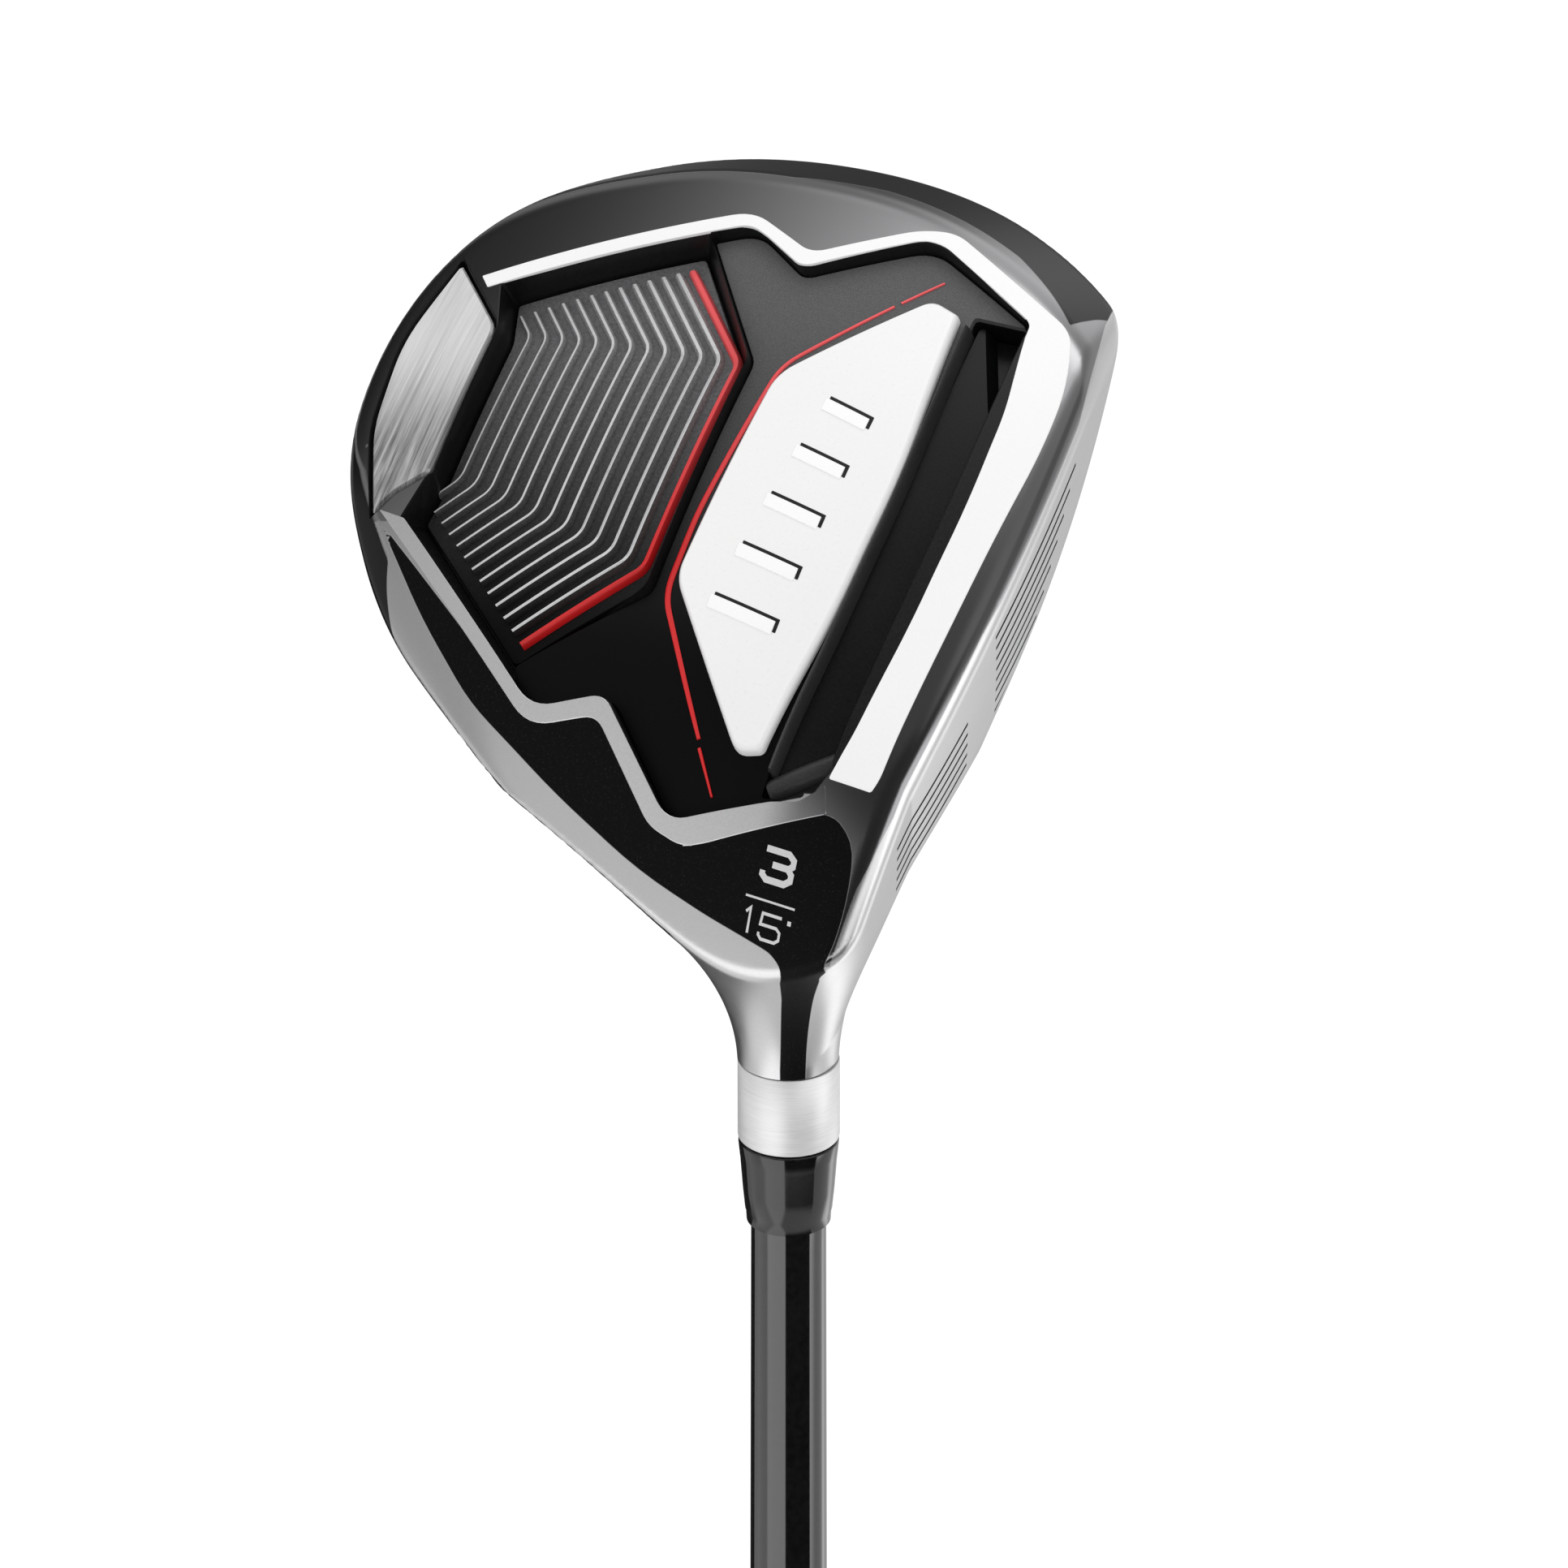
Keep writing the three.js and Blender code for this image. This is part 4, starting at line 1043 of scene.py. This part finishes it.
def head_castings():
    """The cast body, the crown and the face plate, which share one skin."""
    shell = skin_shell()
    recesses = (
        (RECESS, grown(RECESS, -0.3), 3.1, 0.3),
        (POCKET_LIP, POCKET_FLOOR, 5.5, 0.3),
        (grown(SLOT, 0.3), grown(SLOT, 0.2), 7.6, 0.3),
        (grown(WEIGHT, 0.45), grown(WEIGHT, 0.35), 2.8, 0.2),
    )
    for lip, floor, depth, chamfer in recesses:
        combined(shell, cutter(lip, floor, depth, chamfer), "DIFFERENCE")
    combined(shell, axis_cylinder(SLEEVE_BORE_RADIUS, 24, 80), "DIFFERENCE")
    combined(shell, axis_cylinder(30, COLLAR_BOTTOM - 0.2, 100), "DIFFERENCE")
    crown = combined(copy_of(shell), crown_region(), "INTERSECT")
    face = combined(copy_of(shell), face_plug(), "INTERSECT")
    combined(face, score_grooves(), "DIFFERENCE")
    combined(shell, crown_region(), "DIFFERENCE")
    combined(shell, face_plug(), "DIFFERENCE")
    pieces = ((shell, "head_body", "recess"), (crown, "crown", "recess"), (face, "face_plate", "score"))
    for made, node, inside in pieces:
        smoothed(made, head_normals)
        paint_zones(made)
        stands_for(made, node, ("head", inside))


def rear_weight():
    """The brushed weight, whose outer face is the head's skin, with a chamfered edge."""

    def rear_of_head(x, y, z):
        ends = np.maximum(np.maximum(57 - x, z - 16), np.maximum(9 - y, y - 56))
        return np.maximum(head_distance(x, y, z), ends)

    skin = mesh_object("weight", *contoured(rear_of_head, (55, 7, -2), (81, 58, 18), SKIN_STEP))
    rings = [
        (rounded(grown(WEIGHT, -0.3)), CLEAR_DEPTH),
        (rounded(grown(WEIGHT, -0.25)), 0.02),
        (rounded(WEIGHT), 0.5),
        (rounded(WEIGHT), 2.5),
    ]
    made = combined(skin, lofted("cutter", rings), "INTERSECT")
    stands_for(smoothed(made, head_normals), "rear_weight", "weight")


def sole_details():
    inner = grown(RECESS, -0.32)
    inlay = plate("inlay", inner, INLAY_DEPTH, INLAY_DEPTH + 0.8, edge=0.12)
    combined(inlay, prism(rounded(grown(SLOT, 0.35)), 6), "DIFFERENCE")
    stands_for(smoothed(inlay, sole_normals), "sole_inlay", "inlay")

    floor = plate("floor", grown(POCKET_FLOOR, -0.1), POCKET_DEPTH, POCKET_DEPTH + 0.8, edge=0.1)
    stands_for(smoothed(floor, sole_normals), "ribbed_badge", "badge")
    for number in range(RIB_COUNT):
        rib = badge_rib(number / (RIB_COUNT - 1))
        finish = "red" if number == 0 else ("rib", "rib_side")
        detail_on(smoothed(rib, sharp=50), f"badge_rib_{number + 1}", "ribbed_badge", finish)

    panel = plate("panel", PANEL, PANEL_DEPTH, PANEL_DEPTH + 1.5, edge=0.45)
    stands_for(smoothed(panel, sole_normals, sharp=50), "centre_badge", "panel")

    trims = (("toe_trim", TOE_TRIM_AND_STRIPE, "trim_pale"), ("heel_trim", HEEL_TRIM, "trim"))
    for name, outline, finish in trims:
        band = plate(name, outline, -TRIM_RISE, 0.4, edge=0.07)
        detail_on(smoothed(band, sole_normals), name, "head_body", finish)


def badge_rib(share):
    """One rounded rib: a straight run from heel to toe between two legs that bend to the rear."""
    x, width, heel_bend = (between(*ends, share) for ends in (RIB_X, RIB_WIDTH, RIB_HEEL_BEND))
    corners = [
        (x + RIB_LEG, RIB_TOE_BEND + RIB_LEG, 0), (x, RIB_TOE_BEND, 1.2), (x, heel_bend, 1.2),
        (x + RIB_LEG, heel_bend - RIB_LEG, 0),
    ]
    top = POCKET_DEPTH - RIB_HEIGHT
    side = ((0.7, POCKET_DEPTH + 0.3), (0.7, POCKET_DEPTH - 0.05), (0.38, top + 0.14), (0.25, top))
    rib = swept("rib", rounded(corners, closed=False), both_sides(side), width)
    combined(rib, prism(rounded(RIBBED_AREA), 9), "INTERSECT")
    for face in rib.data.polygons:
        face.material_index = 0 if face.normal.z < -0.85 else 1
    return rib


SLOT_FACET = [(0.9, 58.5, 0.2), (-9.6, 58.5, 0.2), (-9.6, 43.2, 0.3), (-6.4, 42.9, 0.3)]
SLOT_FRONT = [
    (-6.6, -7.3, 0.3), (-8.0, -1.4, 2), (-9.7, 13, 5), (-10.3, 30, 6), (-9.5, 43.5, 3), (-7.5, 53.5, 1),
    (-7.0, 55.5, 0.3), (-6.6, 55, 0.3), (-7.2, 44, 3), (-7.8, 28, 8), (-7.1, 10, 5), (-6.0, -5.5, 0.3),
]


def slot_insert():
    """Polymer block with a deep facet at the toe, a lip along its front and a fold at the heel."""
    block = plate("slot", grown(SLOT, -0.05), SLOT_DEPTH, 7.4, edge=0.25)
    outline, floor = rounded(SLOT_FACET), rounded(grown(SLOT_FACET, -0.9))
    combined(block, lofted("cutter", [(outline, CLEAR_DEPTH), (outline, 3.2), (floor, 6)]), "DIFFERENCE")
    stands_for(smoothed(block, sole_normals), "slot_insert", ("slot", "recess"))

    ridges = (
        ("rear_rim", ((1.0, 54.5), (-0.1, 41), (-0.7, 28), (-0.1, 10), (1.6, -8)), 0.9, 2.4, 6),
        ("heel_fold", ((1.6, -9.8), (-1.5, -7.4), (-6.2, -4.0)), 2.6, 1.1, 1),
    )
    for name, run, width, rise, rounding in ridges:
        path = rounded([(x, y, rounding) for x, y in run], closed=False)
        profile = [(0.5 * math.cos(a), SLOT_DEPTH - rise * math.sin(a)) for a in np.linspace(0, math.pi, 9)]
        profile += [(-0.5, SLOT_DEPTH + 0.6), (0.5, SLOT_DEPTH + 0.6)]
        ridge = swept(name, path, profile, width)
        # The rim and fold take the paler polymer as a painted highlight along the ridges.
        detail_on(smoothed(ridge, sharp=50), f"slot_{name}", "slot_insert", "slot_edge")
    front = plate("front", SLOT_FRONT, -0.06, 1.0, edge=0.3, step=0.6)
    detail_on(smoothed(front, sole_normals, sharp=50), "slot_front_ridge", "slot_insert", "slot")


RED_LINE_RUNS = (
    ((6.6, 60.2), (10.3, 55.6)),
    ((10.9, 54.9), (20.7, 42.7), (22.4, 20.7), (22.2, 9.3), (11.6, -6.6)),
    ((11.2, -7.6), (8, -12.4)),
)


def red_lines():
    """The thin raised line on the inlay, widest in the middle, in three runs."""
    top = INLAY_DEPTH - 0.22
    for number, run in enumerate(RED_LINE_RUNS):
        path = rounded([(x, y, 2.5) for x, y in run], closed=False)
        width = polyline(path[:, 1], ((-12, 0.3), (-4, 0.55), (12, 0.75), (38, 0.6), (60, 0.25)))
        side = ((0.5, INLAY_DEPTH + 0.2), (0.5, top + 0.1), (0.3, top))
        line = swept("line", path, both_sides(side), width)
        detail_on(smoothed(line, sharp=50), f"inlay_red_line_{number + 1}", "sole_inlay", "red")


BAR_COUNT, BAR_PITCH, BAR_WIDTH, BAR_SLANT = 5, 7.2, 1.8, 1.4
FIRST_BAR = (11.2, 6.9)
FIRST_BAR_REACH = 4.6
SHADOW_SHIFT = (-0.45, 0.35)


def panel_marks():
    """Slanted bars down the panel, each a little shorter, with a thin dark shadow line beside it."""
    parts = {"pale": [], "dark": []}
    for number in range(BAR_COUNT):
        x, y = FIRST_BAR[0] - 0.5 * number, FIRST_BAR[1] + BAR_PITCH * number
        reach = FIRST_BAR_REACH - 0.35 * number
        bar = [
            (x - reach, y, 0.1), (x + reach, y + BAR_SLANT, 0.1),
            (x + reach, y + BAR_SLANT + BAR_WIDTH, 0.1), (x - reach, y + BAR_WIDTH, 0.1),
        ]
        parts["pale"].append(plate("bar", bar, PANEL_DEPTH - 0.12, PANEL_DEPTH + 0.2, edge=0.08))
        # Painted shadow: a black copy of each bar, shifted a little to one side.
        shade = [(px + SHADOW_SHIFT[0], py + SHADOW_SHIFT[1], corner) for px, py, corner in bar]
        parts["dark"].append(plate("bar", shade, PANEL_DEPTH - 0.04, PANEL_DEPTH + 0.2, edge=0.02))
    # The dark marks are the painted shadow lines.
    for tone, finish in (("dark", "mark"), ("pale", "mark_pale")):
        marks = joined("marks", parts[tone])
        detail_on(smoothed(marks, sole_normals), f"panel_marks_{tone}", "centre_badge", finish)


LEVEL_STROKE = (((-0.5, 0.0), (0.5, 0.0)),)

# Strokes of each numeral, across and up from its centre, as shares of its width and height.
DIGIT_RUNS = {
    "three": (
        ((-0.5, 0.5), (0.3, 0.5), (0.5, 0.34), (0.5, 0.14), (0.36, 0.02), (-0.2, 0.02)),
        ((0.36, 0.0), (0.5, -0.14), (0.5, -0.34), (0.3, -0.5), (-0.34, -0.5), (-0.5, -0.36), (-0.5, -0.24)),
    ),
    "one": (((-0.3, 0.3), (0.05, 0.5), (0.05, -0.5)),),
    "five": ((
        (0.48, 0.5), (-0.42, 0.5), (-0.46, 0.06), (0.3, 0.06), (0.48, -0.08), (0.48, -0.36), (0.3, -0.5),
        (-0.34, -0.5), (-0.48, -0.36), (-0.48, -0.26),
    ),),
    "bar": LEVEL_STROKE,
    "ring": LEVEL_STROKE,
}

# name, centre, width, height, stroke
NUMERALS = (
    ("three", (-2.9, -18.2), 3.6, 3.1, 0.68),
    ("bar", (-2.8, -21.8), 6.3, 1.0, 0.22),
    ("one", (-0.5, -24.1), 1.5, 2.5, 0.3),
    ("five", (-3.3, -24.3), 2.7, 2.5, 0.3),
    ("ring", (-5.6, -23.3), 0.45, 0.45, 0.45),
)


def numerals():
    """The loft number and the loft in degrees, printed raised on the heel of the sole."""
    for name, centre, wide, tall, stroke in NUMERALS:
        strokes = []
        for number, run in enumerate(DIGIT_RUNS[name]):
            path = np.array([(centre[0] - u * wide, centre[1] + v * tall) for u, v in run])
            lift = 0.06 + 0.01 * number
            side = ((0.5, 0.3), (0.5, 0.02 - lift), (0.42, -lift))
            strokes.append(swept("stroke", path, both_sides(side), stroke))
        marks = joined("marks", strokes)
        detail_on(smoothed(marks), f"numeral_{name}", "head_body", "numeral")


# ---------------------------------------------------------------- hosel, shaft and grip

def shaft_radius(z):
    share = (z - SHAFT_BUTT_Z) / (height(SHAFT_TIP) - SHAFT_BUTT_Z)
    return between(SHAFT_BUTT_RADIUS, SHAFT_TIP_RADIUS, share)


def hosel_sleeve():
    shoulder, mouth, foot = height(COLLAR_BOTTOM), height(HOSEL_TOP), height(26)
    profile = [
        (4.8, mouth + 0.2), (5.0, mouth), (5.85, mouth), (6.02, mouth + 0.05), (6.15, mouth + 0.18),
        (HOSEL_RADIUS, mouth + 0.35), (HOSEL_RADIUS, shoulder - 0.12), (6.12, shoulder),
        (5.4, shoulder), (5.4, foot), (4.8, foot),
    ]
    made = turned("sleeve", profile, segments=160)
    stands_for(smoothed(made, sharp=40), "hosel_sleeve", "sleeve", CLUB_TO_ROW)


def ferrule():
    seat, end = height(HOSEL_TOP) - 0.25, height(FERRULE_TOP)
    bore = shaft_radius(end) + 0.06
    profile = [
        (bore, end), (bore + 0.3, end), (bore + 0.5, end + 0.12), (5.2, end + 1.35), (5.32, end + 1.7),
        (5.6, end + 4.6), (5.9, seat - 2.6), (5.96, seat - 2.1), (6.12, seat - 0.5), (6.1, seat - 0.12),
        (5.95, seat), (bore, seat),
    ]
    made = turned("ferrule", profile, segments=160)
    stands_for(smoothed(made, sharp=24), "ferrule", "ferrule", CLUB_TO_ROW)


def shaft():
    low, high = SHAFT_BUTT_Z, height(SHAFT_TIP)
    stations = np.linspace(low + 0.3, high - 0.3, 24)
    profile = [(shaft_radius(low) - 1.3, low), (shaft_radius(low) - 0.2, low)]
    profile += [(shaft_radius(z), z) for z in stations]
    profile += [(shaft_radius(high) - 0.2, high), (shaft_radius(high) - 1.3, high)]
    made = turned("shaft", profile, segments=144)
    stands_for(smoothed(made, sharp=40), "shaft", "shaft", CLUB_TO_ROW)


GRIP_PATTERN_START, GRIP_PATTERN_END = 11.2, 258.8
GRIP_PANEL_PITCH, GRIP_PANEL_LENGTH = 62, 54
GRIP_RING_PITCH = 2.4
GRIP_RING_DEPTH, GRIP_HATCH_DEPTH = 0.28, 0.2
GRIP_HATCH_TURNS, GRIP_HATCH_SLOPE = 24, 1.35


def grip_relief(turn, radius, z):
    """Moulded grooves of the grip: slanted hatching in panels between plain rings."""
    if radius < GRIP_MOUTH_RADIUS - 0.2 or not GRIP_PATTERN_START < z < GRIP_PATTERN_END:
        return 0 * turn
    panel = (z - 10) % GRIP_PANEL_PITCH
    edge = min(1, max(0, min(panel - 2, GRIP_PANEL_LENGTH + 2 - panel) / 1.5))
    around, slope = turn * GRIP_HATCH_TURNS, z * GRIP_HATCH_SLOPE
    hatch = np.sin(around + slope) * np.sin(around - slope)
    in_ring = edge == 0 and panel % GRIP_RING_PITCH < GRIP_RING_PITCH / 2
    rings = -GRIP_RING_DEPTH if in_ring else 0
    return rings - GRIP_HATCH_DEPTH * edge * np.clip(hatch * 3, 0, 1)


def grip():
    low = CAP_THICKNESS + 0.3
    mouth = low + GRIP_LENGTH

    def outer(z):
        share = (z - low) / GRIP_LENGTH
        return between(GRIP_BUTT_RADIUS, GRIP_MOUTH_RADIUS, share ** 0.72) - 0.02

    count = 420
    stations = np.linspace(low + 0.9, mouth - 5, count)
    profile = [(shaft_radius(low) + 0.5, low), (outer(low) - 0.8, low), (outer(low) - 0.2, low + 0.3)]
    profile += [(outer(z), z) for z in stations]
    profile += [
        (GRIP_MOUTH_RADIUS + 0.3, mouth - 3.6), (GRIP_MOUTH_RADIUS + 0.3, mouth - 0.9),
        (GRIP_MOUTH_RADIUS + 0.1, mouth - 0.3), (GRIP_MOUTH_RADIUS - 0.4, mouth),
        (shaft_radius(mouth) + 0.5, mouth),
    ]
    made = turned("grip", profile, segments=192, relief=grip_relief)
    stands_for(smoothed(made, sharp=40), "grip", "grip", CLUB_TO_ROW)


def grip_cap():
    radius, top = GRIP_BUTT_RADIUS, CAP_THICKNESS
    profile = [
        (VENT_RADIUS + 0.3, 0), (radius - 4.5, 0), (radius - 4.2, 0.25), (radius - 3.7, 0.25),
        (radius - 3.4, 0), (radius - 1.8, 0), (radius - 1.1, 0.15), (radius - 0.5, 0.5),
        (radius - 0.15, 1.05), (radius, 1.7), (radius, top), (VENT_RADIUS, top), (VENT_RADIUS, 0.3),
    ]
    made = turned("cap", profile, segments=128)
    stands_for(smoothed(made, sharp=30), "grip_cap", "cap", CLUB_TO_ROW)


def hidden_nodes():
    """CAD pieces inside the club keep their shape and get their material."""
    nodes = ("hot_melt_pad", "hosel_epoxy", "tip_weight_plug", "grip_tape")
    for node, finish in zip(nodes, ("glue", "glue", "brass", "tape")):
        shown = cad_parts[node]
        shown.data.materials.clear()
        shown.data.materials.append(FINISH[finish])


# ---------------------------------------------------------------- studio

def studio_floor():
    reach = 60.0
    points = [(-reach, -reach, 0), (reach, -reach, 0), (reach, reach, 0), (-reach, reach, 0)]
    made = mesh_object("studio_floor", points, [(0, 1, 2, 3)])
    made.location.z = -0.0002
    made.data.materials.append(FINISH["floor"])
    made.visible_glossy = False


def towards(azimuth, elevation):
    """Unit vector in a direction given in degrees."""
    azimuth, elevation = math.radians(azimuth), math.radians(elevation)
    level = math.cos(elevation)
    return Vector((level * math.cos(azimuth), level * math.sin(azimuth), math.sin(elevation)))


class Sky(NodeTree):
    """World light whose brightness is set by direction, as softboxes and black flags do round a product."""

    def __init__(self):
        world = bpy.data.worlds.new("studio")
        bpy.context.scene.world = world
        world.use_nodes = True
        super().__init__(world.node_tree)
        self.direction = self.nodes.new("ShaderNodeTexCoord").outputs["Generated"]
        parts = self.nodes.new("ShaderNodeSeparateXYZ")
        self.links.new(self.direction, parts.inputs[0])
        x, y, z = parts.outputs
        self.azimuth = self.math("MULTIPLY", self.math("ARCTAN2", y, x), 180 / math.pi)
        self.elevation = self.math("MULTIPLY", self.math("ARCSINE", z), 180 / math.pi)
        self.light = 0.0

    def card(self, azimuth, elevation, focus):
        """Weight of a light card: 1 straight towards it, fading with the angle away from it."""
        node = self.nodes.new("ShaderNodeVectorMath")
        node.operation = "DOT_PRODUCT"
        self.links.new(self.direction, node.inputs[0])
        node.inputs[1].default_value = towards(azimuth, elevation)
        away = self.math("SUBTRACT", node.outputs["Value"], 1.0)
        return self.math("EXPONENT", self.math("MULTIPLY", away, focus))

    def window(self, azimuths, elevations):
        """1 inside a block of directions, falling softly to 0; azimuths are measured about its middle."""
        (left, right), (low, high) = azimuths, elevations
        turned_by = self.math("SUBTRACT", self.azimuth, (left + right) / 2)
        around = self.math("ABSOLUTE", self.math("WRAP", turned_by, 180.0, -180.0))
        half, soft_side, soft_edge = (right - left) / 2, 2, 5
        across = self.span(around, half - soft_side, half + soft_side, 1, 0, smooth=True)
        above = self.span(self.elevation, low - soft_edge, low + soft_edge, smooth=True)
        below = self.span(self.elevation, high - soft_edge, high + soft_edge, 1, 0, smooth=True)
        return self.math("MULTIPLY", across, self.math("MULTIPLY", above, below))

    def paint(self, share, value):
        """Sets the brightness to value where share is 1."""
        difference = self.math("SUBTRACT", value, self.light)
        self.light = self.math("ADD", self.light, self.math("MULTIPLY", share, difference))

    def finish(self, diffuse):
        paths = self.nodes.new("ShaderNodeLightPath")
        share = paths.outputs["Is Glossy Ray"]
        strength = self.math("ADD", self.math("MULTIPLY", share, self.light),
                             self.math("MULTIPLY", self.math("SUBTRACT", 1.0, share), diffuse))
        background = self.nodes["Background"]
        background.inputs["Color"].default_value = (1, 1, 1, 1)
        self.links.new(strength, background.inputs["Strength"])


# Softboxes and flags round the club: azimuth and elevation in degrees, then brightness.
CARDS = (
    (160, 33, 0.02), (157, 40, 0.03), (150, 47, 0.22), (146, 58, 0.42), (127, 54, 0.75), (138, 70, 1.2),
    (100, 73, 2.3), (105, 14, 0.1), (120, 30, 0.25), (57, 27, 0.45), (68, 42, 0.3), (92, -18, 0.75),
    (40, 3, 0.6), (28, 18, 0.35), (8, 38, 0.15), (-36, 66, 0.22), (-83, 64, 0.08), (-67, 48, 0.02),
    (-76, 35, 0.02), (-40, 30, 0.03), (-172, 65, 0.6), (178, 48, 0.3), (-160, 18, 0.3), (-112, 18, 0.55),
    (-150, -54, 0.75), (165, -45, 0.1), (32, -50, 0.5), (72, -44, 1.4), (90, -32, 0.4), (-20, 2, 1.1),
    (60, -4, 0.6), (-100, -27, 1.2), (20, -9, 1.6), (95, 38, 0.8), (99, 24, 1.1), (22, 76, 0.3),
    (-20, 80, 0.2), (-160, -27, 0.6), (176, -27, 0.4), (40, -27, 0.55), (0, -88, 0.6), (-40, -60, 0.5),
)
CARD_FOCUS = 60.0
FLAG_BRIGHTNESS = 0.02
DIFFUSE_BRIGHTNESS = 1.06


def studio_world():
    sky = Sky()
    weighted, total = 0.0, 0.0
    for azimuth, elevation, brightness in CARDS:
        share = sky.card(azimuth, elevation, CARD_FOCUS)
        weighted = sky.math("ADD", weighted, sky.math("MULTIPLY", share, brightness))
        total = sky.math("ADD", total, share)
    sky.light = sky.math("DIVIDE", weighted, total)
    for azimuths in ((-72, 5), (118, 171)):
        sky.paint(sky.window(azimuths, (-40, -14)), FLAG_BRIGHTNESS)
    sky.finish(DIFFUSE_BRIGHTNESS)


HEAD_HEIGHT = 1.078


def studio_lights():
    """A large soft key from behind the toe, which only lights matt surfaces."""
    data = bpy.data.lights.new("key", "AREA")
    data.shape = "DISK"
    data.size = 1.6
    data.energy = 10
    key = bpy.data.objects.new("key", data)
    bpy.context.scene.collection.objects.link(key)
    direction, distance = towards(110, 62), 2.4
    key.location = Vector((0, 0, HEAD_HEIGHT)) + direction * distance
    key.rotation_euler = direction.to_track_quat("Z", "Y").to_euler()
    key.visible_glossy = False


def camera():
    data = bpy.data.cameras.new("camera")
    data.lens = 289.3
    data.sensor_width = 36
    data.clip_end = 400
    shot = bpy.data.objects.new("camera", data)
    bpy.context.scene.collection.objects.link(shot)
    target, distance = Vector((0.0022, -0.0054, 1.0785)), 1.5
    looking = Vector((-0.416, 0.789, -0.451)).normalized()
    shot.location = target - looking * distance
    shot.rotation_euler = looking.to_track_quat("-Z", "Y").to_euler()
    bpy.context.scene.camera = shot


head_castings()
rear_weight()
sole_details()
slot_insert()
red_lines()
panel_marks()
numerals()
hosel_sleeve()
ferrule()
shaft()
grip()
grip_cap()
hidden_nodes()

studio_floor()
studio_world()
studio_lights()
camera()
bpy.context.scene.view_settings.view_transform = "Standard"
